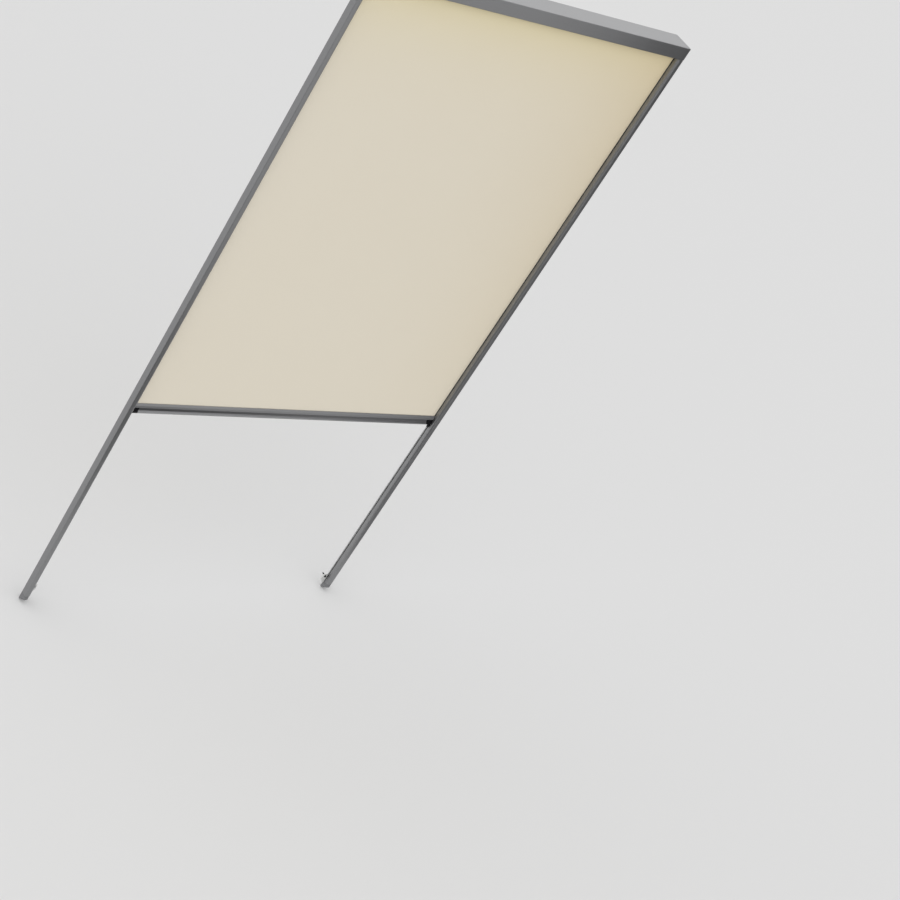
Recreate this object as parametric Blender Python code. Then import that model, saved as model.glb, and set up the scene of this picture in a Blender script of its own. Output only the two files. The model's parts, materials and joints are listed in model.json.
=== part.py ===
# Skylight window blind: a spring roller in an aluminium head casing, two slim side rails, and a
# bottom bar that stays where it is left because two crossed cords run through it.
#
# Frame: +X across the window, +Y towards the glass, +Z up the slope of the window. The origin is
# the middle of the casing's flat top face. All sizes are in metres.

import math

import bmesh
import bpy
from mathutils import Matrix, Vector

MM = 0.001

# Overall sizes
BLIND_WIDTH = 650.0 * MM
BLIND_LENGTH = 1220.0 * MM
FIT_GAP = 0.3 * MM
FABRIC_SETBACK = 9.8 * MM
FABRIC_THICKNESS = 0.35 * MM
BAR_DROP = 789.0 * MM

# Head casing
CASING_DEPTH = 40.0 * MM
CASING_HEIGHT = 38.0 * MM
CASING_WALL = 1.3 * MM
CASING_CORNER = 1.2 * MM
APRON_HEIGHT = 22.0 * MM
HEM_DEPTH = 5.5 * MM
FLOOR_CLEARANCE = 1.5 * MM
BRUSH_HEIGHT = 1.6 * MM
END_CAP_THICKNESS = 5.0 * MM
BRACKET_RECESS_DEPTH = 1.5 * MM
BRACKET_RECESS_WIDTH = 16.0 * MM
BRACKET_RECESS_HEIGHT = 16.0 * MM
PORT_WALL = 1.3 * MM
CASING_SCREW_RADIUS = 1.3 * MM
CASING_SCREW_LENGTH = 12.0 * MM
CASING_SCREW_HEAD_RADIUS = 2.5 * MM
CASING_SCREW_HEAD_HEIGHT = 1.6 * MM

# Spring roller
ROLLER_DROP = 20.0 * MM
TUBE_RADIUS = 10.0 * MM
TUBE_WALL = 1.2 * MM
ROLL_RADIUS = 12.0 * MM
TUBE_OVERHANG = 0.5 * MM
PLUG_FLANGE = 1.4 * MM
PLUG_LENGTH = 14.0 * MM
PIN_RADIUS = 3.0 * MM
PIN_REACH = 17.0 * MM
PIN_SEAT_DEPTH = 3.0 * MM
SHAFT_RADIUS = 2.5 * MM
JOURNAL_RADIUS = 3.5 * MM
JOURNAL_MARGIN = 1.0 * MM
SHAFT_LENGTH = 290.0 * MM
COLLAR_LENGTH = 10.0 * MM
COLLAR_WALL = 3.2 * MM
SHAFT_TIP = 8.0 * MM
SPRING_RADIUS = 6.0 * MM
SPRING_WIRE_RADIUS = 0.6 * MM
SPRING_TURNS = 20

# Side rails
RAIL_WIDTH = 10.5 * MM
RAIL_WALL = 1.1 * MM
RAIL_NOSE_RADIUS = 6.0 * MM
RAIL_CORNER = 0.6 * MM
SEAL_THICKNESS = 0.5 * MM
SEAL_WIDTH = 0.9 * MM
SEAL_GAP = 0.2 * MM
FABRIC_GRIP = 2.5 * MM
TONGUE_LENGTH = 9.0 * MM
FOOT_HEIGHT = 8.0 * MM
FOOT_SLANT_DROP = 8.5 * MM
FOOT_ROUND = 2.4 * MM
PLUG_HEIGHT = 5.0 * MM
LUG_WIDTH = 11.0 * MM
LUG_HEIGHT = 21.0 * MM
LUG_THICKNESS = 1.5 * MM
LUG_TAPER = 11.0 * MM
LUG_HOLE_DROP = 3.6 * MM
LUG_SETBACK = 0.3 * MM
FOOT_SCREW_RADIUS = 1.2 * MM
FOOT_SCREW_LENGTH = 9.0 * MM
FOOT_SCREW_HEAD_RADIUS = 2.4 * MM
FOOT_SCREW_HEAD_HEIGHT = 1.4 * MM

# Tension cords
CORD_DIAMETER = 0.8 * MM
CORD_PULLEY_GAP = 0.25 * MM
CORD_WALL_GAP = 1.45 * MM
CORD_SPACING = 2.0 * MM
CORD_SPRING_LENGTH = 15.0 * MM
CORD_SPRING_RADIUS = 1.15 * MM
CORD_SPRING_WIRE_RADIUS = 0.25 * MM
CORD_SPRING_TURNS = 12
FERRULE_RADIUS = 1.5 * MM
FERRULE_LENGTH = 5.0 * MM
FERRULE_ROOM = 0.7 * MM

# Pulleys and glides
FLANGE_THICKNESS = 0.25 * MM
FLANGE_STEP = 0.6 * MM
GROOVE_GAP = 0.2 * MM
PULLEY_PIN_RADIUS = 0.8 * MM
PULLEY_PIN_LENGTH = 5.5 * MM
PULLEY_HEAD_RADIUS = 1.5 * MM
PULLEY_HEAD_THICKNESS = 0.3 * MM
GLIDE_WEB = 0.6 * MM
GLIDE_HALF_HEIGHT = 8.5 * MM
BLADE_THICKNESS = 1.0 * MM
BLADE_HALF_HEIGHT = 5.5 * MM
BLADE_GRIP = 9.7 * MM

# Bottom bar
BAR_HEIGHT = 18.7 * MM
BAR_END_GAP = 0.6 * MM
BAR_BACK = 3.2 * MM
BAR_FRONT_TOP = 1.1 * MM
BAR_SHOULDER_DROP = 3.6 * MM
BAR_SHOULDER_REACH = 2.5 * MM
BAR_CREASE_DROP = 7.2 * MM
BAR_CREASE_REACH = 3.1 * MM
BAR_WAIST_REACH = 1.8 * MM
BAR_WAIST_TOP = 8.2 * MM
BAR_WAIST_BOTTOM = 13.4 * MM
BAR_LIP_REACH = 4.0 * MM
BAR_LIP_HEIGHT = 3.3 * MM
BAR_LIP_FOOT_REACH = 2.9 * MM
BAR_WALL = 0.85 * MM
BAR_BACK_WALL = 1.2 * MM
KEEPER_RADIUS = 1.1 * MM
KEEPER_DEPTH = 3.2 * MM
KEEPER_OFFSET = 0.5 * MM
FABRIC_SLOT = 1.0 * MM
BAR_CAP_LENGTH = 12.1 * MM
BAR_CAP_TONGUE = 10.0 * MM
BAR_CAP_BULGE = 1.1 * MM
BAR_LEG_LENGTH = 6.8 * MM
BAR_LEG_WIDTH = 3.0 * MM
BAR_LEG_DEPTH = 3.4 * MM
BAR_EDGE_ROUND = 0.5 * MM
BAR_SHOULDER_ROUND = 5.0 * MM
BAR_CREASE_ROUND = 0.3 * MM
BAR_WAIST_TOP_ROUND = 0.8 * MM
BAR_WAIST_BOTTOM_ROUND = 1.5 * MM
BAR_CAP_ROUND = 2.0 * MM

# How finely round shapes are faceted
FILLET_STEPS = 5
GROOVE_STEPS = 14
TUBE_SIDES = 40
PLUG_SIDES = 32
SHAFT_SIDES = 24
HOLE_SIDES = 20
SCREW_SIDES = 16
PIN_SIDES = 12
SPRING_POINTS = 10
CORD_SPRING_POINTS = 8
CORD_WRAP = math.radians(30)
CORD_WRAP_STEPS = 3
SMOOTH_ANGLE = math.radians(35)
MERGE_DISTANCE = 0.001 * MM

# Places worked out from those sizes: the planes across the depth of the blind
FRONT_Y = -CASING_DEPTH / 2
BACK_Y = CASING_DEPTH / 2
FABRIC_Y = FRONT_Y + FABRIC_SETBACK
CORD_RADIUS = CORD_DIAMETER / 2
PULLEY_HALF_THICKNESS = CORD_RADIUS + GROOVE_GAP + FLANGE_THICKNESS
BLADE_ROOM = BLADE_THICKNESS / 2 + FIT_GAP
SLOT_FRONT = BLADE_ROOM + SEAL_THICKNESS + SEAL_GAP
SLOT_REAR = PULLEY_HALF_THICKNESS + CORD_PULLEY_GAP + PULLEY_HEAD_THICKNESS + FIT_GAP
SLOT_Y = FABRIC_Y - SLOT_FRONT
RAIL_BACK_Y = FABRIC_Y + SLOT_REAR + RAIL_WALL
LUG_BACK_Y = RAIL_BACK_Y - LUG_SETBACK

# Places along the height
ROLLER_Y = FABRIC_Y + FABRIC_THICKNESS / 2 + FIT_GAP + ROLL_RADIUS
RAIL_TOP = -APRON_HEIGHT - FIT_GAP
SLOT_TOP = -CASING_HEIGHT - FIT_GAP
RAIL_BOTTOM = -BLIND_LENGTH + FOOT_HEIGHT
BAR_TOP = -BAR_DROP
CHAMBER_TOP = KEEPER_DEPTH + KEEPER_RADIUS + FIT_GAP + BAR_WALL
CHAMBER_BOTTOM = BAR_HEIGHT - BAR_BACK_WALL
CHAMBER_FRONT_Y = FABRIC_Y - BAR_WAIST_REACH + BAR_WALL
CHAMBER_BACK_Y = FABRIC_Y + BAR_BACK - BAR_BACK_WALL
CORD_LEVEL = BAR_TOP - (CHAMBER_TOP + CHAMBER_BOTTOM) / 2

# Places across the width, measured from the middle
HALF_WIDTH = BLIND_WIDTH / 2
RAIL_INNER_X = HALF_WIDTH - RAIL_WIDTH
CAVITY_INNER_X = RAIL_INNER_X + RAIL_WALL
CAVITY_OUTER_X = HALF_WIDTH - RAIL_WALL
GLIDE_INNER_X = CAVITY_INNER_X + FIT_GAP
GLIDE_OUTER_X = CAVITY_OUTER_X - FIT_GAP
CORD_OVERHANG = CORD_PULLEY_GAP + CORD_RADIUS - FLANGE_STEP
FLANGE_RADIUS = (CAVITY_OUTER_X - GLIDE_INNER_X - GLIDE_WEB - FIT_GAP
                 - CORD_OVERHANG - CORD_RADIUS - CORD_WALL_GAP) / 2
GROOVE_RADIUS = FLANGE_RADIUS - FLANGE_STEP
CORD_TURN_RADIUS = GROOVE_RADIUS + CORD_PULLEY_GAP + CORD_RADIUS
PULLEY_X = GLIDE_INNER_X + GLIDE_WEB + FIT_GAP + FLANGE_RADIUS
CORD_X = PULLEY_X + CORD_TURN_RADIUS
END_CAP_INNER_X = HALF_WIDTH - END_CAP_THICKNESS
CASING_HALF_LENGTH = END_CAP_INNER_X - FIT_GAP
FABRIC_HALF_WIDTH = RAIL_INNER_X + FABRIC_GRIP
TUBE_HALF_LENGTH = FABRIC_HALF_WIDTH + TUBE_OVERHANG
BAR_HALF_LENGTH = RAIL_INNER_X - BAR_END_GAP
NOTCH_X = BAR_HALF_LENGTH - BAR_CAP_LENGTH - FIT_GAP

SIDES = {"left": -1, "right": 1}


def clear_scene():
    """Removes whatever the file held."""
    for thing in list(bpy.data.objects):
        bpy.data.objects.remove(thing, do_unlink=True)


def finish(name, colour, roughness, metallic=0.0):
    """One Principled BSDF material."""
    made = bpy.data.materials.new(name)
    made.use_nodes = True
    shader = made.node_tree.nodes["Principled BSDF"]
    shader.inputs["Base Color"].default_value = (*colour, 1.0)
    shader.inputs["Roughness"].default_value = roughness
    shader.inputs["Metallic"].default_value = metallic
    return made


def place(thing, origin, parent=None):
    """Links an object whose vertices are already measured from origin."""
    bpy.context.collection.objects.link(thing)
    thing["origin"] = list(origin)
    start = Vector((0, 0, 0))
    if parent is not None:
        thing.parent = parent
        start = Vector(parent["origin"])
    thing.location = Vector(origin) - start
    return thing


def frame_point(name, origin):
    """An empty on a joint's axis, which carries the pieces that move together."""
    point = bpy.data.objects.new(name, None)
    point.empty_display_size = 10.0 * MM
    return place(point, origin)


def to_object(name, bm, material, origin=(0, 0, 0), parent=None):
    """Turns a bmesh in world coordinates into an object with its origin where it turns."""
    bmesh.ops.recalc_face_normals(bm, faces=bm.faces)
    bmesh.ops.translate(bm, verts=bm.verts, vec=-Vector(origin))
    mesh = bpy.data.meshes.new(name)
    bm.to_mesh(mesh)
    bm.free()
    mesh.shade_smooth()
    mesh.set_sharp_from_angle(angle=SMOOTH_ANGLE)
    thing = bpy.data.objects.new(name, mesh)
    if material is not None:
        mesh.materials.append(material)
    return place(thing, origin, parent)


def fillet(before, corner, after, radius, steps=FILLET_STEPS):
    """Points of the arc that rounds one corner of an outline."""
    corner = Vector(corner)
    back = Vector(before) - corner
    ahead = Vector(after) - corner
    half = back.angle(ahead) / 2
    reach = min(radius / math.tan(half), 0.45 * back.length, 0.45 * ahead.length)
    radius = reach * math.tan(half)
    middle = corner + (back.normalized() + ahead.normalized()).normalized() * (radius / math.sin(half))
    start = corner + back.normalized() * reach - middle
    sweep = (math.pi - 2 * half) * (1 if start.cross(-back) > 0 else -1)
    turns = [sweep * step / steps for step in range(steps + 1)]
    return [tuple(middle + Matrix.Rotation(turn, 2) @ start) for turn in turns]


def rounded(corners):
    """A closed outline from (a, b, radius) corners, each rounded by its own arc."""
    points = []
    for number, (a, b, radius) in enumerate(corners):
        before = corners[number - 1][:2]
        after = corners[(number + 1) % len(corners)][:2]
        if radius > 0:
            points += fillet(before, (a, b), after, radius)
        else:
            points.append((a, b))
    return points


def inner_corners(corners, wall):
    """The corners of an open path, moved to its left by one wall."""
    moved = []
    for number, (a, b, radius) in enumerate(corners):
        normals = []
        if number > 0:
            run = Vector((a, b)) - Vector(corners[number - 1][:2])
            normals.append(Vector((-run.y, run.x)).normalized())
        if number < len(corners) - 1:
            run = Vector(corners[number + 1][:2]) - Vector((a, b))
            normals.append(Vector((-run.y, run.x)).normalized())
        mitre = sum(normals, Vector((0, 0)))
        mitre = mitre / mitre.dot(normals[0])
        shifted = Vector((a, b)) + mitre * wall
        moved.append((shifted.x, shifted.y, max(radius - wall, 0.0)))
    return moved


def thin_section(corners, wall):
    """The closed outline of a bent sheet whose outer path is given and whose inside is on its left."""
    return rounded(list(corners) + inner_corners(corners, wall)[::-1])


def extruded(name, outline, along, low, high, material, origin=(0, 0, 0), parent=None, reshape=None):
    """A prism: the outline lies in the two other axes, and the prism runs along the named one."""
    order = {"X": lambda a, b: (low, a, b), "Y": lambda a, b: (a, low, b), "Z": lambda a, b: (a, b, low)}
    bm = bmesh.new()
    face = bm.faces.new([bm.verts.new(order[along](a, b)) for a, b in outline])
    raised = bmesh.ops.extrude_face_region(bm, geom=[face])
    far = [item for item in raised["geom"] if isinstance(item, bmesh.types.BMVert)]
    run = {"X": (1, 0, 0), "Y": (0, 1, 0), "Z": (0, 0, 1)}[along]
    bmesh.ops.translate(bm, verts=far, vec=Vector(run) * (high - low))
    if reshape is not None:
        reshape(bm)
    return to_object(name, bm, material, origin, parent)


def block(name, low, high, material, origin=(0, 0, 0), parent=None):
    """A box between two corners."""
    outline = [(low[0], low[1]), (high[0], low[1]), (high[0], high[1]), (low[0], high[1])]
    return extruded(name, outline, "Z", low[2], high[2], material, origin, parent)


def turned(name, profile, along, centre, sides, material, parent=None, closed=False):
    """A lathe piece: profile points are (distance along the axis, radius)."""
    axis = Vector({"X": (1, 0, 0), "Y": (0, 1, 0), "Z": (0, 0, 1)}[along])
    out = Vector({"X": (0, 1, 0), "Y": (0, 0, 1), "Z": (1, 0, 0)}[along])
    bm = bmesh.new()
    verts = [bm.verts.new(axis * run + out * radius) for run, radius in profile]
    edges = [bm.edges.new(pair) for pair in zip(verts, verts[1:])]
    if closed:
        edges.append(bm.edges.new((verts[-1], verts[0])))
    bmesh.ops.spin(bm, geom=verts + edges, cent=(0, 0, 0), axis=axis, angle=2 * math.pi,
                   steps=sides, use_merge=True)
    bmesh.ops.remove_doubles(bm, verts=bm.verts, dist=MERGE_DISTANCE)
    bmesh.ops.translate(bm, verts=bm.verts, vec=Vector(centre))
    return to_object(name, bm, material, centre, parent)


def rod(name, along, centre, start, end, radius, sides, material, parent=None):
    """A plain round bar along one axis."""
    profile = [(start, 0.0), (start, radius), (end, radius), (end, 0.0)]
    return turned(name, profile, along, centre, sides, material, parent)


def ring(name, along, centre, start, end, inner, outer, sides, material, parent=None):
    """A plain tube along one axis."""
    profile = [(start, inner), (start, outer), (end, outer), (end, inner)]
    return turned(name, profile, along, centre, sides, material, parent, closed=True)


def cord(name, points, radius, material, parent=None, resolution=2):
    """A round cord or wire through points, with closed ends."""
    curve = bpy.data.curves.new(name, "CURVE")
    curve.dimensions = "3D"
    curve.bevel_depth = radius
    curve.bevel_resolution = resolution
    curve.use_fill_caps = True
    origin = Vector(parent["origin"]) if parent is not None else Vector((0, 0, 0))
    spline = curve.splines.new("POLY")
    spline.points.add(len(points) - 1)
    for point, place_of in zip(spline.points, points):
        point.co = (*(Vector(place_of) - origin), 1.0)
    curve.materials.append(material)
    return place(bpy.data.objects.new(name, curve), origin, parent)


def helix(along, centre, start, length, radius, turns, per_turn):
    """Points along a coil spring."""
    centre = Vector(centre)
    points = []
    for step in range(turns * per_turn + 1):
        turn = 2 * math.pi * step / per_turn
        run = start + length * step / (turns * per_turn)
        across = (radius * math.cos(turn), radius * math.sin(turn))
        offset = {"X": (run, *across), "Z": (*across, run)}[along]
        points.append(centre + Vector(offset))
    return points


def combine(target, tool, operation):
    """Cuts, or joins, a hidden tool shape with a piece."""
    tool.hide_render = True
    tool.display_type = "WIRE"
    tool.parent = target
    tool.location = Vector(tool["origin"]) - Vector(target["origin"])
    modifier = target.modifiers.new(tool.name, "BOOLEAN")
    modifier.operation = operation
    modifier.object = tool
    modifier.solver = "EXACT"
    return target


def cut(target, tool):
    return combine(target, tool, "DIFFERENCE")


def join(target, tool):
    return combine(target, tool, "UNION")


def screw(name, along, seat, length, sizes, material, parent=None, sides=SCREW_SIDES):
    """A pan-head screw or headed pin: the head's underside is at seat, the shank runs to length."""
    shank_radius, head_radius, head_height = sizes
    sign = math.copysign(1.0, length)
    profile = [(-sign * head_height, 0.0), (-sign * head_height, 0.75 * head_radius),
               (-sign * 0.6 * head_height, head_radius), (0.0, head_radius), (0.0, shank_radius),
               (length, shank_radius), (length, 0.0)]
    return turned(name, profile, along, seat, sides, material, parent)


# Finishes
def make_finishes():
    return {
        "aluminium": finish("anodised_aluminium", (0.32, 0.32, 0.33), 0.42, 0.9),
        "bare": finish("mill_aluminium", (0.62, 0.63, 0.64), 0.35, 1.0),
        "steel": finish("zinc_plated_steel", (0.55, 0.56, 0.58), 0.3, 1.0),
        "spring": finish("spring_steel", (0.28, 0.29, 0.30), 0.35, 1.0),
        "grey": finish("grey_plastic", (0.16, 0.16, 0.165), 0.5),
        "black": finish("black_plastic", (0.012, 0.012, 0.013), 0.4),
        "pale": finish("natural_acetal", (0.72, 0.71, 0.68), 0.45),
        "brush": finish("dark_pile", (0.035, 0.028, 0.022), 0.95),
        "seal": finish("grey_pile", (0.2, 0.2, 0.2), 0.95),
        "cord": finish("braided_cord", (0.55, 0.54, 0.51), 0.8),
        "cloth": finish("beige_cloth", (0.69, 0.63, 0.52), 0.9),
    }


# Head casing: apron, top, back and floor are one bent section with two screw ports
def casing_ports():
    """Centres of the screw ports in the section, as (y, z)."""
    inset = CASING_WALL + CASING_SCREW_RADIUS + FIT_GAP
    return [(BACK_Y - inset, -inset), (BACK_Y - inset, -CASING_HEIGHT + inset)]


def bar_back_y():
    return FABRIC_Y + BAR_BACK


def make_casing(look):
    floor_edge = bar_back_y() + FLOOR_CLEARANCE
    path = [(FRONT_Y + HEM_DEPTH, -APRON_HEIGHT, 0.0), (FRONT_Y, -APRON_HEIGHT, CASING_CORNER),
            (FRONT_Y, 0.0, CASING_CORNER), (BACK_Y, 0.0, CASING_CORNER),
            (BACK_Y, -CASING_HEIGHT, CASING_CORNER), (floor_edge, -CASING_HEIGHT, 0.0)]
    section = thin_section(path, -CASING_WALL)
    casing = extruded("head_casing", section, "X", -CASING_HALF_LENGTH, CASING_HALF_LENGTH, look["aluminium"])
    for number, (y, z) in enumerate(casing_ports()):
        outer = CASING_SCREW_RADIUS + FIT_GAP + PORT_WALL
        length = CASING_HALF_LENGTH
        join(casing, rod(f"port_{number}", "X", (0, y, z), -length, length, outer, HOLE_SIDES, None))
        bore = CASING_SCREW_RADIUS + FIT_GAP
        beyond = length + FIT_GAP
        cut(casing, rod(f"port_bore_{number}", "X", (0, y, z), -beyond, beyond, bore, SCREW_SIDES, None))
    brush_front = FRONT_Y + HEM_DEPTH + FIT_GAP
    brush_back = FABRIC_Y - FABRIC_THICKNESS / 2 - FIT_GAP
    block("casing_brush_strip", (-CASING_HALF_LENGTH, brush_front, -APRON_HEIGHT),
          (CASING_HALF_LENGTH, brush_back, -APRON_HEIGHT + BRUSH_HEIGHT), look["brush"])


def make_casing_end(side, look):
    """End cap: a plate that closes the casing, carries the roller and plugs into the rail's top."""
    sign = SIDES[side]
    step_y = SLOT_Y + FIT_GAP
    outline = rounded([(FRONT_Y, 0.0, CASING_CORNER), (BACK_Y, 0.0, CASING_CORNER),
                       (BACK_Y, -CASING_HEIGHT, CASING_CORNER), (step_y, -CASING_HEIGHT, CASING_CORNER),
                       (step_y, -APRON_HEIGHT, 0.0), (FRONT_Y, -APRON_HEIGHT, CASING_CORNER)])
    inner = sign * END_CAP_INNER_X
    outer = sign * HALF_WIDTH
    cap = extruded(f"casing_end_cap_{side}", outline, "X", inner, outer, look["aluminium"])
    low_z = RAIL_TOP - TONGUE_LENGTH
    tongue_x = sorted((inner + sign * FIT_GAP, sign * GLIDE_OUTER_X))
    tongue = block(f"tongue_{side}", (tongue_x[0], FRONT_Y + RAIL_WALL + FIT_GAP, low_z),
                   (tongue_x[1], step_y + CASING_WALL, -APRON_HEIGHT + CASING_WALL), None)
    join(cap, tongue)
    seat_radius = (PIN_RADIUS if side == "right" else JOURNAL_RADIUS) + FIT_GAP
    seat = rod(f"roller_seat_{side}", "X", (inner, ROLLER_Y, -ROLLER_DROP), -sign * FIT_GAP,
               sign * PIN_SEAT_DEPTH, seat_radius, SHAFT_SIDES, None)
    cut(cap, seat)
    recess_x = sorted((outer - sign * BRACKET_RECESS_DEPTH, outer + sign * FIT_GAP))
    recess_z = -CASING_HEIGHT / 2
    cut(cap, block(f"bracket_recess_{side}",
                   (recess_x[0], ROLLER_Y - BRACKET_RECESS_WIDTH / 2, recess_z - BRACKET_RECESS_HEIGHT / 2),
                   (recess_x[1], ROLLER_Y + BRACKET_RECESS_WIDTH / 2, recess_z + BRACKET_RECESS_HEIGHT / 2),
                   None))
    for number, (y, z) in enumerate(casing_ports()):
        hole = CASING_SCREW_RADIUS + FIT_GAP
        head = CASING_SCREW_HEAD_RADIUS + FIT_GAP
        depth = CASING_SCREW_HEAD_HEIGHT + FIT_GAP
        profile = [(-FIT_GAP, 0.0), (-FIT_GAP, hole), (END_CAP_THICKNESS - depth, hole),
                   (END_CAP_THICKNESS - depth, head), (END_CAP_THICKNESS + FIT_GAP, head),
                   (END_CAP_THICKNESS + FIT_GAP, 0.0)]
        profile = [(sign * run, radius) for run, radius in profile]
        cut(cap, turned(f"screw_hole_{side}_{number}", profile, "X", (inner, y, z), HOLE_SIDES, None))
    room = FERRULE_RADIUS + FERRULE_ROOM
    pocket_x = sorted((sign * (CORD_X - FERRULE_RADIUS - CORD_PULLEY_GAP), outer + sign * FIT_GAP))
    cut(cap, block(f"ferrule_pocket_{side}", (pocket_x[0], FABRIC_Y - room, ferrule_bottom() - FIT_GAP),
                   (pocket_x[1], FABRIC_Y + room, ferrule_bottom() + FERRULE_LENGTH + FERRULE_ROOM), None))
    cut(cap, rod(f"cord_hole_{side}", "Z", (sign * CORD_X, FABRIC_Y, 0.0), -CASING_HEIGHT - FIT_GAP,
                 ferrule_bottom(), CORD_RADIUS + FIT_GAP, SCREW_SIDES, None))


def ferrule_bottom():
    """Level of the crimped ferrule's lower face, inside the end cap's pocket."""
    return -APRON_HEIGHT + CASING_WALL + CASING_CORNER + FIT_GAP


def make_casing_screws(look):
    sizes = (CASING_SCREW_RADIUS, CASING_SCREW_HEAD_RADIUS, CASING_SCREW_HEAD_HEIGHT)
    for side, sign in SIDES.items():
        seat_x = sign * (HALF_WIDTH - CASING_SCREW_HEAD_HEIGHT)
        for level, (y, z) in zip(("upper", "lower"), casing_ports()):
            screw(f"casing_screw_{side}_{level}", "X", (seat_x, y, z), -sign * CASING_SCREW_LENGTH, sizes,
                  look["steel"])


# Spring roller
def make_roller(look):
    axis = frame_point("roller_axis", (0, ROLLER_Y, -ROLLER_DROP))
    centre = (0, ROLLER_Y, -ROLLER_DROP)
    bore = TUBE_RADIUS - TUBE_WALL
    ring("roller_tube", "X", centre, -TUBE_HALF_LENGTH, TUBE_HALF_LENGTH, bore, TUBE_RADIUS,
         TUBE_SIDES, look["bare"], axis)
    ring("fabric_roll", "X", centre, -FABRIC_HALF_WIDTH, FABRIC_HALF_WIDTH, TUBE_RADIUS + FIT_GAP,
         ROLL_RADIUS, TUBE_SIDES, look["cloth"], axis)
    for side, sign in SIDES.items():
        hole = (PIN_RADIUS if side == "right" else JOURNAL_RADIUS) + FIT_GAP
        face = TUBE_HALF_LENGTH + FIT_GAP
        spigot = bore - FIT_GAP
        profile = [(TUBE_HALF_LENGTH - PLUG_LENGTH, hole), (TUBE_HALF_LENGTH - PLUG_LENGTH, spigot),
                   (face, spigot), (face, TUBE_RADIUS), (face + PLUG_FLANGE, TUBE_RADIUS),
                   (face + PLUG_FLANGE, hole)]
        profile = [(sign * run, radius) for run, radius in profile]
        turned(f"roller_plug_{side}", profile, "X", centre, PLUG_SIDES, look["pale"], axis, closed=True)

    seat_end = END_CAP_INNER_X + PIN_SEAT_DEPTH - FIT_GAP
    journal_end = TUBE_HALF_LENGTH - PLUG_LENGTH - JOURNAL_MARGIN
    shaft_end = journal_end - SHAFT_LENGTH
    profile = [(-seat_end, 0.0), (-seat_end, JOURNAL_RADIUS), (-journal_end, JOURNAL_RADIUS),
               (-journal_end, SHAFT_RADIUS), (-shaft_end, SHAFT_RADIUS), (-shaft_end, 0.0)]
    turned("spring_shaft", profile, "X", centre, SHAFT_SIDES, look["steel"])

    on_shaft = SHAFT_RADIUS + FIT_GAP
    collar_start = -journal_end + FIT_GAP
    collar_end = collar_start + COLLAR_LENGTH
    ring("spring_fixed_collar", "X", centre, collar_start, collar_end, on_shaft,
         SHAFT_RADIUS + COLLAR_WALL, SHAFT_SIDES, look["pale"])
    drive_start = -shaft_end - SHAFT_TIP
    drive_end = drive_start + COLLAR_LENGTH / 2
    ring("spring_drive_plug", "X", centre, drive_start, drive_end, on_shaft, bore - FIT_GAP,
         PLUG_SIDES, look["pale"], axis)
    wire = SPRING_WIRE_RADIUS
    start = collar_end + wire + FIT_GAP
    length = drive_start - wire - FIT_GAP - start
    coil = helix("X", centre, start, length, SPRING_RADIUS, SPRING_TURNS, SPRING_POINTS)
    cord("roller_spring", coil, wire, look["spring"], resolution=0)

    rod("idle_pin", "X", centre, seat_end - PIN_REACH, seat_end, PIN_RADIUS, SHAFT_SIDES, look["steel"])


# Side rails
def make_rail(side, look):
    """The rail wraps front, outer side and back, and is notched at its top to clear the roll."""
    sign = SIDES[side]
    path = [(RAIL_INNER_X, SLOT_Y, 0.0), (RAIL_INNER_X, FRONT_Y, RAIL_NOSE_RADIUS),
            (HALF_WIDTH, FRONT_Y, RAIL_CORNER), (HALF_WIDTH, RAIL_BACK_Y, RAIL_CORNER),
            (RAIL_INNER_X, RAIL_BACK_Y, 0.0)]
    section = [(sign * x, y) for x, y in thin_section(path, RAIL_WALL)]
    rail = extruded(f"side_rail_{side}", section, "Z", RAIL_BOTTOM, RAIL_TOP, look["aluminium"])
    notch_x = sorted((sign * (RAIL_INNER_X - FIT_GAP), sign * (HALF_WIDTH + FIT_GAP)))
    cut(rail, block(f"rail_notch_{side}", (notch_x[0], SLOT_Y, SLOT_TOP),
                    (notch_x[1], RAIL_BACK_Y + FIT_GAP, RAIL_TOP + FIT_GAP), None))

    seal_x = sorted((sign * (RAIL_INNER_X + SEAL_GAP / 2), sign * (RAIL_INNER_X + SEAL_GAP / 2 + SEAL_WIDTH)))
    seal_z = (RAIL_BOTTOM + FIT_GAP, SLOT_TOP - FIT_GAP)
    front = (SLOT_Y + SEAL_GAP, SLOT_Y + SEAL_GAP + SEAL_THICKNESS)
    back = (FABRIC_Y + BLADE_ROOM, RAIL_BACK_Y - RAIL_WALL - SEAL_GAP)
    for place_name, (low_y, high_y) in {"front": front, "back": back}.items():
        block(f"rail_seal_{side}_{place_name}", (seal_x[0], low_y, seal_z[0]),
              (seal_x[1], high_y, seal_z[1]), look["seal"])


def cavity_outline(sign, low_y, high_y):
    """A shape that fills the rail's cavity with a running gap, between two depths."""
    nose = RAIL_NOSE_RADIUS - RAIL_WALL
    corners = [(GLIDE_INNER_X, low_y, nose), (GLIDE_OUTER_X, low_y, RAIL_CORNER),
               (GLIDE_OUTER_X, high_y, RAIL_CORNER), (GLIDE_INNER_X, high_y, 0.0)]
    return [(sign * x, y) for x, y in rounded(corners)]


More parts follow.
